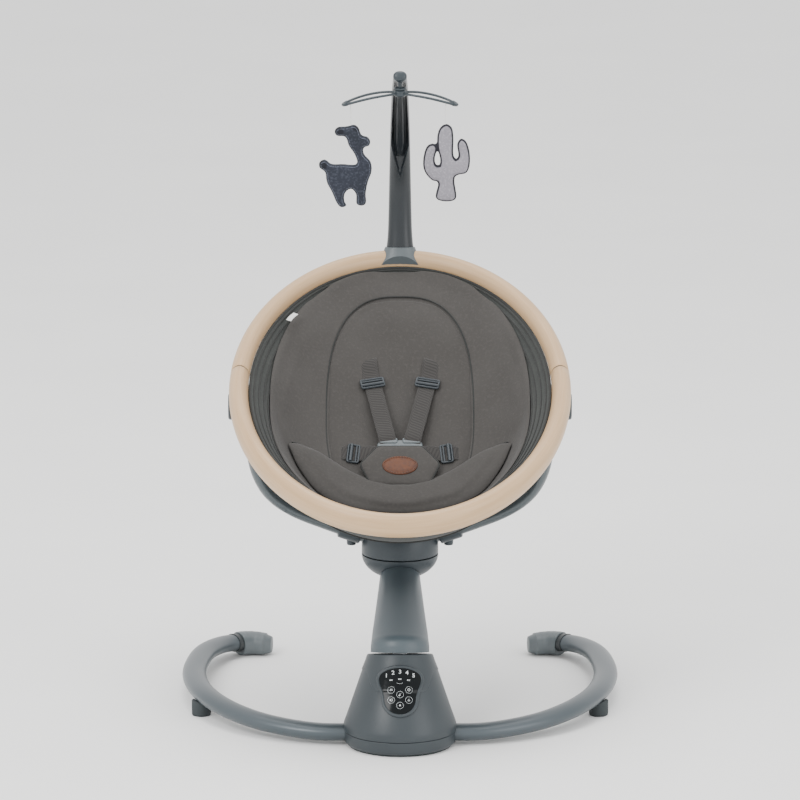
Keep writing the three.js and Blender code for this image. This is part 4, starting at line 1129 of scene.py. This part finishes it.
def as_cloth(piece, cap, press=4.0):
    """Blows a bag up as cloth and keeps each point near where it was."""
    take(piece)
    start = [v.co.copy() for v in piece.data.vertices]
    bpy.ops.object.modifier_add(type="CLOTH")
    cloth_settings = piece.modifiers[-1].settings
    cloth_settings.use_pressure = True
    cloth_settings.uniform_pressure_force = press
    cloth_settings.effector_weights.gravity = 0
    for number in range(1, 21):
        bpy.context.scene.frame_set(number)
    bpy.ops.object.modifier_apply(modifier=piece.modifiers[-1].name)
    bpy.context.scene.frame_set(1)
    for v, was in zip(piece.data.vertices, start):
        move = v.co - was
        most = cap if move.dot(OVER_SEAT - was) > 0 else 0.9
        if move.length > most * MM:
            v.co = was + move.normalized() * most * MM
    return modify(piece, "SUBSURF", levels=1, render_levels=1)


def pad_piece(piece, node, finish, cap):
    """Finishes a bag: blows it up as cloth, each point rising at most `cap` mm, and settles it."""
    as_cloth(piece, cap)
    settle(piece, "seat", [node] if node else [], finish, 60)
    return piece


PAD_EDGE = squared_oval(190, 313, -292, 2.2, 128)
pad = bag("quilted_pad", PAD_EDGE, Vector((0, 0, 0)), 0.4, 13)
pad_piece(pad, "seat_pad", PAD_CLOTH, 3)
INLAY_EDGE = squared_oval(113, 267, -150, 2.5, 112)
inlay = bag("inlay_cushion", INLAY_EDGE, Vector((0, 30, 0)), 13.6, 21, 9)
pad_piece(inlay, "newborn_inlay", INLAY_CLOTH, 3)

# %% The front bolster, a crescent roll
# The seam that bounds it towards the seat: across and along the seat.
SEAM_LINE = [(173, -52), (164, -36), (146, -29), (118, -33), (91, -45), (60, -60), (30, -70), (0, -74)]
FRONT_LINE = [(173, -58), (163, -82), (149, -104), (127, -128), (83, -146), (40, -152), (0, -154)]


def both_sides(half):
    """A line across the seat, told by its right half."""
    left = [(-x, y, 0) for x, y in half]
    return flow(left + [(-x, y, 0) for x, y, _ in left[-2::-1]], 90)[0]


seam_points, front_edge = both_sides(SEAM_LINE), both_sides(FRONT_LINE)
roll_rings = []
for i, (a, b) in enumerate(zip(seam_points, front_edge)):
    k = i / 89
    full = min(1.0, math.sin(math.pi * k) * 2.2) ** 0.6 if 0 < k < 1 else 0.03
    ring = []
    for j in range(24):
        v = (1 - math.cos(math.pi * j / 23)) / 2
        ring.append(over_bed(*a.lerp(b, v).xy, 13.4 + (1 + 15 * (1 - abs(2 * v - 1) ** 3) ** 0.5) * full))
    for j in range(10):
        v = 1 - (j + 1) / 11
        ring.append(over_bed(*a.lerp(b, v).xy, 13.2))
    roll_rings.append(ring)
roll = skin("front_bolster", roll_rings, SEAT)
pad_piece(roll, None, PAD_CLOTH, 3)

# %% Cords sewn in the seams of the inlay and the bolster
for name, line, height, looped in (("inlay_seam", [p + Vector((0, 3, 0)) for p in INLAY_EDGE], 15.2, True),
                                   ("bolster_seam", seam_points[2:-2], 15.6, False)):
    cord_line = [over_bed(p.x, p.y, height) for p in line]
    settle(tube(name, cord_line, Z, 1.3, 1.3, 10, SEAT, looped=looped), "seat", [], PIPING)

# %% [markdown]
# ## The harness
# Straps are woven flat, so they are modelled flat: a thin band with square
# edges that leaves a slot in the inlay, lies on it for a hand's width and
# then runs straight to the buckle. Everything round the buckle is drawn in
# the lap's own plane, which leans up towards the face.

# %% The lap's plane
low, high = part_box("crotch_pad")
LAP_UP, LAP_OUT = Vector((0, 0.785946, 0.618296)), Vector((0, -0.618296, 0.785946))
LAP = Matrix.Translation((low + high) / 2) @ Matrix((X, LAP_UP, LAP_OUT)).transposed().to_4x4()
IN_SEAT = SEAT.inverted() @ LAP


def lap(x, y, z):
    """A place in the lap's plane, told in the seat's frame."""
    return IN_SEAT @ (Vector((x, y, z)) * MM) / MM


STRAP_HALF, STRAP_THICK = 12.5, 0.85


def strap(name, points, upright, count=48):
    """A flat woven band along a few points."""
    line, _ = flow(points, count)
    return tube(name, line, upright, STRAP_HALF, STRAP_THICK, 28, SEAT, square=7)


# %% Plates and ladder buckles
def plate(name, outline, low, high, frame_at, edge=0.8):
    """A flat plate from an outline of x and y, with a rounded edge."""
    middle = sum(outline, Vector((0, 0))) / len(outline)
    # A share of the way out from the middle, or, if not above 0, mm from the edge.
    rows = [(0.05, low), (0.5, low), (-edge, low), (0, low + edge),
            (0, high - edge), (-edge, high), (0.5, high), (0.05, high)]
    rings = []
    for share, z in rows:
        ring = []
        for p in outline:
            away = p - middle
            at = middle + (away * share if share > 0 else away.normalized() * (away.length + share))
            ring.append(Vector((at.x, at.y, z)))
        rings.append(ring)
    return skin(name, rings, frame_at)


def rounded_corners(corners, r, steps=6):
    """A closed outline with its corners rounded."""
    found = []
    corners = [Vector(c) for c in corners]
    for a, b, c in zip(corners[-1:] + corners, corners, corners[1:] + corners[:1]):
        start, end = b + (a - b).normalized() * r, b + (c - b).normalized() * r
        for i in range(steps + 1):
            k = i / steps
            found.append(start.lerp(b, k).lerp(b.lerp(end, k), k))
    return found


def ladder(name, at, wide, deep):
    """A ladder buckle: a rounded frame with a thicker middle bar."""
    outline = rounded_corners([(-wide, -deep), (wide, -deep), (wide, deep), (-wide, deep)], 2.5)
    points = [Vector((p.x, p.y, 0)) for p in outline]
    frame_piece = tube("ladder", points, Z, 1.7, 1.9, 14, at, looped=True)
    bars = [tube("ladder", [Vector((-wide, y, z)), Vector((0, y, z)), Vector((wide, y, z))], Z, r, r, 14, at)
            for y, z, r in ((deep * 0.45, 1.6, 2.6), (-deep * 0.5, 0.4, 1.4))]
    piece = join(frame_piece, *bars)
    piece.name = name
    return piece


# %% Shoulder straps with their ladder buckles
def standing_on(a, b, up):
    """A small frame at `a`, its second axis towards `b`, told in the seat."""
    ahead = (b - a).normalized()
    side = ahead.cross(up).normalized()
    turn = Matrix((side, ahead, side.cross(ahead))).transposed().to_4x4()
    return SEAT @ Matrix.Translation(a * MM) @ turn


SEAT_LAP_OUT = (SEAT.inverted().to_3x3() @ LAP_OUT).normalized()
for side, word in ((1, "right"), (-1, "left")):
    start, end = over_bed(side * 46, 128, 25), lap(side * 18.5, 50, -1)
    path = [over_bed(side * 50, 166, 16), over_bed(side * 50, 160, 22), over_bed(side * 49, 149, 24.5), start,
            start.lerp(end, 0.35), start.lerp(end, 0.7), end, lap(side * 17, 40, -4)]
    band = strap(f"{word}_shoulder_webbing", path, SEAT_LAP_OUT)
    settle(band, "seat", [f"{word}_shoulder_strap"], WEBBING)
    line, _ = flow(path, 48)
    at = standing_on(line[15] + SEAT_LAP_OUT * 2.4, line[16] + SEAT_LAP_OUT * 2.4, SEAT_LAP_OUT)
    buckle = ladder(f"{word}_ladder_buckle", at, 16.5, 8)
    settle(buckle, "seat", [f"{word}_strap_adjuster"], GRAPHITE)
    slot = oval(Vector((side * 50, 163, 0)), X, Y, 17, 2.6, 40)
    edge = [over_bed(p.x, p.y, 21.3) for p in slot]
    binding = tube(f"{word}_strap_slot", edge, Z, 1.1, 1.1, 10, SEAT, looped=True)
    settle(binding, "seat", [], PIPING)

# %% Waist straps with their buckles
for side, word in ((1, "right"), (-1, "left")):
    path = [lap(side * 30, 27, -6), lap(side * 44, 27, -4), over_bed(side * 66, -24, 27),
            over_bed(side * 86, -23, 25), over_bed(side * 93, -22, 18)]
    band = strap(f"{word}_waist_webbing", path, SEAT_LAP_OUT, 30)
    settle(band, "seat", [f"{word}_waist_strap"], WEBBING)
    line, _ = flow(path, 30)
    at = standing_on(line[18] + SEAT_LAP_OUT * 1.2, line[19] + SEAT_LAP_OUT * 1.2, SEAT_LAP_OUT)
    settle(ladder(f"{word}_waist_buckle", at, 15.5, 8), "seat", [], GRAPHITE)

# %% [markdown]
# The buckle is moulded, with two tongues at its upper edge, and a padded
# crotch piece of six sides covers it. A blank leather patch is stitched on
# the middle.

# %% Buckle
BUCKLE_AT = LAP @ Matrix.Translation(Vector((0, 35, -7)) * MM)
body_outline = rounded_corners([(-33, -13), (33, -13), (33, 9), (27, 14), (-27, 14), (-33, 9)], 4)
buckle = plate("buckle_body", body_outline, -5, 5, BUCKLE_AT, 1.6)
for x in (-17, 17):
    tongue = rounded_corners([(x - 13.5, 8), (x + 13.5, 8), (x + 13.5, 17.5), (x - 13.5, 17.5)], 2.5)
    join(buckle, plate("tongue", tongue, -3, 6.2, BUCKLE_AT, 1.2))
buckle.name = "buckle_body"
settle(buckle, "seat", ["harness_buckle"], CLAMP)

# %% Crotch pad with a corded edge
PAD_CORNERS = [(-32, 36), (32, 36), (58, 0), (42, -36), (-42, -36), (-58, 0)]
hexagon = rounded_corners(PAD_CORNERS, 7, 10)


def crotch_rise(x, lift):
    """The pad's wings curl up where the seat's sides rise under them."""
    return lift + 0.0021 * max(abs(x) - 12, 0) ** 2


crotch_under = [(s, -2.4) for s in (0.03, 0.3, 0.6, 0.85, 0.96, 1)]
crotch_over = [(s, -1.6 + 5.4 * (1 - s ** 5) ** 0.5)
               for s in (1, 0.985, 0.96, 0.92, 0.86, 0.75, 0.6, 0.3, 0.03)]
crotch_rings = []
for share, lift in crotch_under + crotch_over:
    crotch_rings.append([
        Vector((p.x * share, p.y * share, crotch_rise(p.x * share, lift))) for p in hexagon])
crotch = skin("crotch_cushion", crotch_rings, LAP)
settle(crotch, "seat", ["crotch_pad"], PAD_CLOTH, 60)
edge_points = [Vector((p.x, p.y, crotch_rise(p.x, -1.6))) for p in hexagon]
edge_cord = tube("crotch_piping", edge_points, Z, 1.6, 1.6, 12, LAP, looped=True)
settle(edge_cord, "seat", [], PIPING)

# %% Leather patch and its stitches
PATCH = LAP @ Matrix.Translation(Vector((0, -3, 0)) * MM)
PATCH_A, PATCH_B = 25.6, 17.0


def patch_ring(shrink, lift):
    """A loop of the patch, which bends with the pad under it."""
    ring = oval(Vector(), X, Y, PATCH_A - shrink, PATCH_B - shrink, 72)
    return [Vector((p.x, p.y, crotch_rise(p.x, lift))) for p in ring]


badge = skin("leather_patch", [patch_ring(s, z) for s, z in (
    (25, 3.2), (16.9, 3.2), (0.2, 3.2), (0, 3.6), (0, 4.6), (0.5, 5.2), (3.2, 5.3), (3.6, 5.0), (4.2, 5.3),
    (10, 5.5), (16.9, 5.6))], PATCH)
settle(badge, "seat", ["leather_badge"], LEATHER, 50)
stitches = []
for i in range(0, 72, 2):
    ring = patch_ring(2.0, 5.35)
    line = [ring[i], ring[i].lerp(ring[(i + 1) % 72], 0.5) + Z * 0.25, ring[(i + 1) % 72]]
    stitches.append(tube("stitch", line, Z, 0.32, 0.32, 6, PATCH))
seam = join(*stitches)
seam.name = "patch_stitches"
settle(seam, "seat", [], PIPING)

# %% A blank label sewn in the pad's edge
label_points = [over_bed(-172, 171, 15), over_bed(-168, 180, 16), over_bed(-162, 190, 16)]
label = tube("side_label", flow(label_points, 8)[0], Z, 4, 0.35, 16, SEAT, square=7)
settle(label, "seat", [], TAG_CLOTH)

# %% [markdown]
# ## The toy bar
# The bar rises from a socket on the ring and curves forward over the seat.
# Its inner face is hollowed into a channel with two ribs, which begins in a
# point a third of the way up, so the loops change from ovals to a C.

# %% The bar's line and its C-shaped loops
BAR_ROUTE = [(566, 607.5), (571.5, 645), (573, 685), (569, 716), (556, 761),
             (536, 795), (500, 828), (451, 859), (396, 885), (331, 908)]
BAR_STEPS = 110
bar_line, bar_ahead = flow([(0, y, z) for y, z in BAR_ROUTE], BAR_STEPS + 1)
BAR_SIDES = 96


def hollow(across, k, wide):
    """How deep the channel is at a share of the bar and across it."""
    half = min(max((k - 0.25) / 0.13, 0), 1) * (wide - 1.9)
    if half < 0.6:
        return 0.0
    wall = min(max((half - abs(across)) / 1.3, 0), 1)
    rib = 1.7 * math.exp(-((abs(across) - half * 0.42) / 0.9) ** 2) if k > 0.33 else 0.0
    deep = 8.5 * (1 - k) + 3.8
    return wall * max(deep * min(1, (k - 0.245) / 0.08) - rib, 0)


bar_rings = []
for i in range(BAR_STEPS + 1):
    k = i / BAR_STEPS
    outward = bar_ahead[i].cross(X).normalized()
    wide = 18 + (10 - 18) * min(1, k * 1.05) + 2 * math.exp(-k * 30)
    thick = 17 + (6.8 - 17) * k
    ring = []
    for p in oval(Vector(), X, outward, wide, thick, BAR_SIDES, 2.35):
        inner_side = p.dot(outward) < 0
        sunk = hollow(p.x, k, wide) if inner_side else 0.0
        ring.append(bar_line[i] + p + outward * sunk)
    bar_rings.append(ring)
toy_bar = skin("toy_bar_shell", bar_rings)
settle(toy_bar, "toy_bar", ["toy_bar"], BAR_PLASTIC, 32)

peg_up = bar_ahead[0]
peg = turned("toy_bar_peg", rounded([(0, -24), (9, -24), (9, 1), (0, 1)], 1.2), bar_line[0], peg_up, 40)
settle(peg, "toy_bar", [], BAR_PLASTIC)

tip, tip_ahead = bar_line[-1], bar_ahead[-1]
tip_outward = tip_ahead.cross(X).normalized()
cap_rings = [oval(tip + tip_ahead * along, X, tip_outward, a, b, 56, 2.3) for along, a, b in (
    (-3.4, 8.8, 6.6), (-3.2, 9.7, 7.5), (-2.6, 10, 7.8), (3, 10, 7.8), (6, 9.7, 7.5), (8, 8.8, 6.7),
    (9.3, 7, 5.2), (9.9, 4.6, 3.2), (10, 2, 1.2))]
settle(skin("toy_bar_end", cap_rings), "toy_bar", ["toy_bar_cap"], DARK)

# %% Socket, a saddle on the top of the ring
across = peg_up.cross(X).normalized()
SOCKET = [(-46, 31.5, 23.5), (-44, 33, 25), (-36, 34, 26), (-24, 32, 24), (-12, 26.6, 20.4), (-4, 23.4, 18.8),
          (-1.2, 22.4, 18.4), (-0.6, 21.6, 17.8)]
socket = skin("toy_bar_saddle", [
    oval(bar_line[0] + peg_up * down, X, across, a, b, 72, 2.4) for down, a, b in table(SOCKET, 30)])
TOP_OF_RING, SADDLE_REACH, SADDLE_GAP = math.pi / 2, 0.32, 0.5
cut(socket, ring_tube("ring_room", TOP_OF_RING - SADDLE_REACH, TOP_OF_RING + SADDLE_REACH, 30,
                      RING_ACROSS + SADDLE_GAP, RING_TALL + SADDLE_GAP))
around_bowl = bowl_levels(-0.6)
bowl_room = [[on_level(level, t) for t in bucket_turns] for level in reversed(around_bowl[::4])]
bowl_room.append([on_level(around_bowl[0], t) + Z * 60 for t in bucket_turns])
cut(socket, skin("bowl_room", bowl_room, SEAT))
cut(socket, turned("peg_room", [(0, -26), (9.4, -26), (9.4, 5), (0, 5)], bar_line[0], peg_up, 40))
settle(socket, "seat", ["toy_bar_socket"], CLAMP, 32)

# %% [markdown]
# ## The mobile
# A turned swivel hangs under the bar's tip. The hanger clips on it: a small
# hub with a long loop of wire on each side, dipped dark at the ends, and a
# toy hangs on a thread from each.

# %% Swivel, hub and wire loops
MOBILE_Y, DROOP, LOOP_LONG, LOOP_WIDE, LOOP_TOP = 342, 17, 39, 17, 882
tip_at = Vector((0, MOBILE_Y, 0))
pin_side = [(0, 880.5), (2, 880.5), (2, 887.5), (9, 887.5), (9, 890), (3, 891), (3, 899.6), (0, 899.6)]
swivel = turned("mobile_pin", rounded(pin_side, 0.5), tip_at, Z, 40)
settle(swivel, "toy_bar", ["mobile_swivel"], DARK)
hub_side = [(2.5, 880.2), (2.5, 887), (7, 887), (9, 885), (9, 879), (7, 877), (0, 877), (0, 880.2)]
hub = turned("hanger_hub", rounded(hub_side, 0.6), tip_at, Z, 48)
for side in (1, -1):
    points = []
    for i in range(72):
        t = 2 * math.pi * i / 72
        x = side * (43 - LOOP_LONG * math.cos(t))
        points.append(Vector((x, MOBILE_Y + LOOP_WIDE * math.sin(t), LOOP_TOP - DROOP * (x / 82) ** 2)))
    join(hub, tube("loop", points, Z, 1.9, 1.9, 12, looped=True))
    join(hub, tube("dipped_end", points[30:43], Z, 2.9, 2.5, 14))
hub.name = "mobile_loops"
settle(hub, "mobile", ["mobile_hanger"], DARK)

# %% [markdown]
# The toys are two faces of cloth sewn round the edge, turned and stuffed.
# The flat outline is extruded, remeshed into small squares and puffed up:
# the face rises fast at the seam and is flat in the middle. Every point
# keeps its distance from the seam, and the finish draws the stitches there.

# %% Stuffed toys
LLAMA = [
    (-2, -1), (4, 1), (11, -3), (16, -15), (24, -17), (29, -24), (26, -31), (19, -33),
    (19, -42), (29, -54), (30.5, -68), (25, -84), (22, -100), (21.5, -117), (15, -119.5),
    (8.5, -117), (7.5, -102), (0.5, -94), (-8, -100), (-9.5, -112), (-6, -119), (-14, -122),
    (-20, -116), (-27, -100), (-35, -84), (-37.5, -69), (-45.5, -63), (-45.5, -54.5),
    (-37, -50.5), (-29, -57), (-12, -57.5), (9, -57), (6, -44), (-3, -30), (-8, -17),
    (-20, -16), (-24, -9), (-18, -2.5), (-9, -2)]
CACTUS = [
    (-7, -4.5), (1.5, 0), (9, -5), (11.7, -20), (11.7, -46), (14.5, -52), (18.5, -49),
    (17, -29), (22.5, -21.5), (30, -26), (36, -52), (31, -72), (14.2, -78), (14.5, -112),
    (-13.5, -111), (-11, -86), (-19, -84), (-31, -69), (-32, -49), (-26, -32), (-17.5, -29),
    (-12.5, -34), (-15.5, -52), (-13.5, -60.5), (-9, -61.5), (-7.8, -52), (-11.5, -36),
    (-11.7, -16)]


# %% From an outline to a stuffed shape
def closed_outline(corners, count):
    """A smooth closed line through the corners of an outline."""
    overlap = 3
    looped = [(u, v, 0) for u, v in corners[-overlap:] + corners + corners[:overlap]]
    line, _ = flow(looped, count * 3)
    first = min(range(len(line) // 2), key=lambda i: (line[i] - Vector(looped[overlap])).length)
    last = min(range(len(line) // 2, len(line)), key=lambda i: (line[i] - Vector(looped[-overlap])).length)
    return [line[round(first + (last - first) * i / count)] for i in range(count)]


def to_seam(p, outline):
    """How far a flat place is from the outline."""
    best = 1e9
    for a, b in zip(outline, outline[1:] + outline[:1]):
        along = b - a
        k = min(max((p - a).dot(along) / max(along.length_squared, 1e-9), 0), 1)
        best = min(best, (p - a - along * k).length_squared)
    return best ** 0.5


def stuffed(name, corners, x, top, patches):
    """A stuffed shape hung at x, with the places of its darker patches."""
    outline = closed_outline(corners, 130)
    hung = Vector((x, 0, top))
    rows = [[Vector((p.x, MOBILE_Y + y, p.y)) + hung for p in outline] for y in (-3, 3)]
    piece = skin(name, rows)
    modify(piece, "REMESH", mode="VOXEL", voxel_size=1.7 * MM)
    edges, dark = [], []
    for v in piece.data.vertices:
        at = Vector((v.co.x / MM - x, v.co.z / MM - top, 0))
        far = to_seam(at, outline)
        full = (1 - (1 - min(far, 8.5) / 8.5) ** 2) ** 0.5
        share = max(-1, min(1, (v.co.y / MM - MOBILE_Y) / 3))
        v.co.y = (MOBILE_Y + share * (0.7 + 5.6 * full)) * MM
        edges.append(far)
        dark.append(1.0 if any((at.xy - Vector(c)).length < r for *c, r in patches) else 0.0)
    for key, values in (("seam_mm", edges), ("patch", dark)):
        piece.data.attributes.new(key, "FLOAT", "POINT").data.foreach_set("value", values)
    modify(piece, "SMOOTH", factor=0.5, iterations=3)
    return modify(piece, "SUBSURF", levels=1, render_levels=1)


# %% A cloth that shows its sewing
def sewn(name, ground, near, far, seam_hex, patch_hex=None, dashes=0.0):
    """A cloth that shows a sewn band between two distances from its edge."""
    made = ground.copy()
    made.name = name
    tree, shader = made.node_tree, made.node_tree.nodes["Principled BSDF"]
    edge = add(tree, "Attribute", attribute_name="seam_mm").outputs["Fac"]
    inside = add(tree, "MapRange", {"Value": edge, "From Min": near - 0.25, "From Max": near + 0.1})
    outside = add(tree, "MapRange", {"Value": edge, "From Min": far - 0.1, "From Max": far + 0.25,
                                     "To Min": 1.0, "To Max": 0.0})
    band = add(tree, "Math", {0: inside.outputs["Result"], 1: outside.outputs["Result"]},
               operation="MULTIPLY")
    if dashes:
        place = add(tree, "TexCoord").outputs["Object"]
        gaps = add(tree, "TexNoise", {"Vector": place, "Scale": 1 / (dashes * MM)})
        lit = add(tree, "MapRange", {"Value": gaps.outputs["Fac"], "From Min": 0.42, "From Max": 0.5})
        band = add(tree, "Math", {0: band.outputs[0], 1: lit.outputs["Result"]}, operation="MULTIPLY")
    was = shader.inputs["Base Color"].links[0].from_socket
    if patch_hex:
        spot = add(tree, "Attribute", attribute_name="patch").outputs["Fac"]
        was = add(tree, "Mix", {"Factor": spot, MIX_A: was, MIX_B: linear(patch_hex)},
                  data_type="RGBA").outputs[MIX_OUT]
    mixed = add(tree, "Mix", {"Factor": band.outputs[0], MIX_A: was, MIX_B: linear(seam_hex)}, data_type="RGBA")
    tree.links.new(mixed.outputs[MIX_OUT], shader.inputs["Base Color"])
    return made


# %% The toys' own cloths, and the toys hung on their threads
THREAD_LONG = 31
LLAMA_FELT = sewn("wool_felt_sewn", FELT_DARK, 2.8, 3.3, "#5e6370", "#1d1f25", 1.6)
CACTUS_COTTON = sewn("brushed_cotton_piped", COTTON, -1.0, 2.5, "#26262c")
for word, corners, x, finish, slot, patches in (
        ("llama", LLAMA, -71.5, LLAMA_FELT, "felt_dark", [(-17, -9, 6.6), (-41, -58, 6.6), (9, -3, 5.5)]),
        ("cactus", CACTUS, 66, CACTUS_COTTON, "felt_light", [])):
    knot = LOOP_TOP - DROOP * (x / 82) ** 2 - 1.7 - 0.4
    foot = knot - THREAD_LONG
    thread_line = [Vector((x, MOBILE_Y, z)) for z in (foot, foot + 15, knot)]
    thread = tube(f"{word}_thread", thread_line, Y, 0.7, 0.7, 10)
    settle(thread, word, [f"{word}_string"], THREAD)
    toy = stuffed(f"{word}_cushion", corners, x, foot - 1.2, patches)
    settle(toy, word, [f"{word}_toy"], finish, 60)

# %% [markdown]
# ## What is carried over from the frame
# The works inside the pedestal and the seat's release button stay as the
# frame has them, each in the material that it is really made of.

# %% Finishes on the frame's own solids
KEPT = {"pedestal_pad": RUBBER, "control_board": CIRCUIT, "speaker": BLACK, "drive_motor": STEEL,
        "bearing_housing": DARK, "lower_bearing": STEEL, "upper_bearing": STEEL, "power_inlet": BLACK,
        "motor_pinion": GEAR, "swing_spindle": STEEL, "drive_gear": GEAR, "buckle_button": GRAPHITE}
for node, finish in KEPT.items():
    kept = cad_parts[node]
    kept.data.materials.clear()
    kept.data.materials.append(finish)

# %% [markdown]
# ## Studio
# A pale floor that runs far back, a wide soft light high on the left, a
# weaker one on the right and one overhead. The camera stands far off with a
# long lens, 13 degrees above level, so that the object is seen almost
# without perspective.

# %% Floor
bpy.ops.mesh.primitive_plane_add(size=40)
floor = bpy.context.object
floor.name = "floor"
floor_made, tree, shader = material("pale_floor", Specular_IOR_Level=0.2)
place = add(tree, "TexCoord").outputs["Object"]
paper = add(tree, "TexNoise", {"Vector": place, "Scale": 3.0})
blend_colour(tree, shader, paper.outputs["Fac"], "#f3f3f2", "#f6f6f5")
roughen(tree, shader, paper.outputs["Fac"], 0.85, 0.95)
floor.data.materials.append(floor_made)

# %% Lights
AIM = Vector((0, 254, 446)) * MM
world = bpy.data.worlds.new("studio")
bpy.context.scene.world = world
world.use_nodes = True
sky = world.node_tree.nodes["Background"]
sky.inputs["Color"].default_value = (1, 1, 1, 1)
sky.inputs["Strength"].default_value = 1.5
for name, at, size, power in (("key", (-2.2, -2.4, 2.8), 1.6, 84), ("fill", (2.6, -2.0, 1.6), 2.0, 34),
                              ("top", (0, 0.6, 3.4), 2.4, 60)):
    bpy.ops.object.light_add(type="AREA", location=at)
    lamp = bpy.context.object
    lamp.name = lamp.data.name = name
    lamp.data.size, lamp.data.energy = size, power
    lamp.rotation_euler = (AIM - lamp.location).to_track_quat("-Z", "Y").to_euler()

# %% Camera
AWAY, HIGH, SHOWN = 12.0, math.radians(13), 1.16
bpy.ops.object.camera_add(location=AIM + Vector((0, -math.cos(HIGH), math.sin(HIGH))) * AWAY)
camera = bpy.context.object
camera.rotation_euler = (AIM - camera.location).to_track_quat("-Z", "Y").to_euler()
camera.data.sensor_width = 36
camera.data.lens = 36 * AWAY / SHOWN
camera.data.clip_end = 200
bpy.context.scene.camera = camera
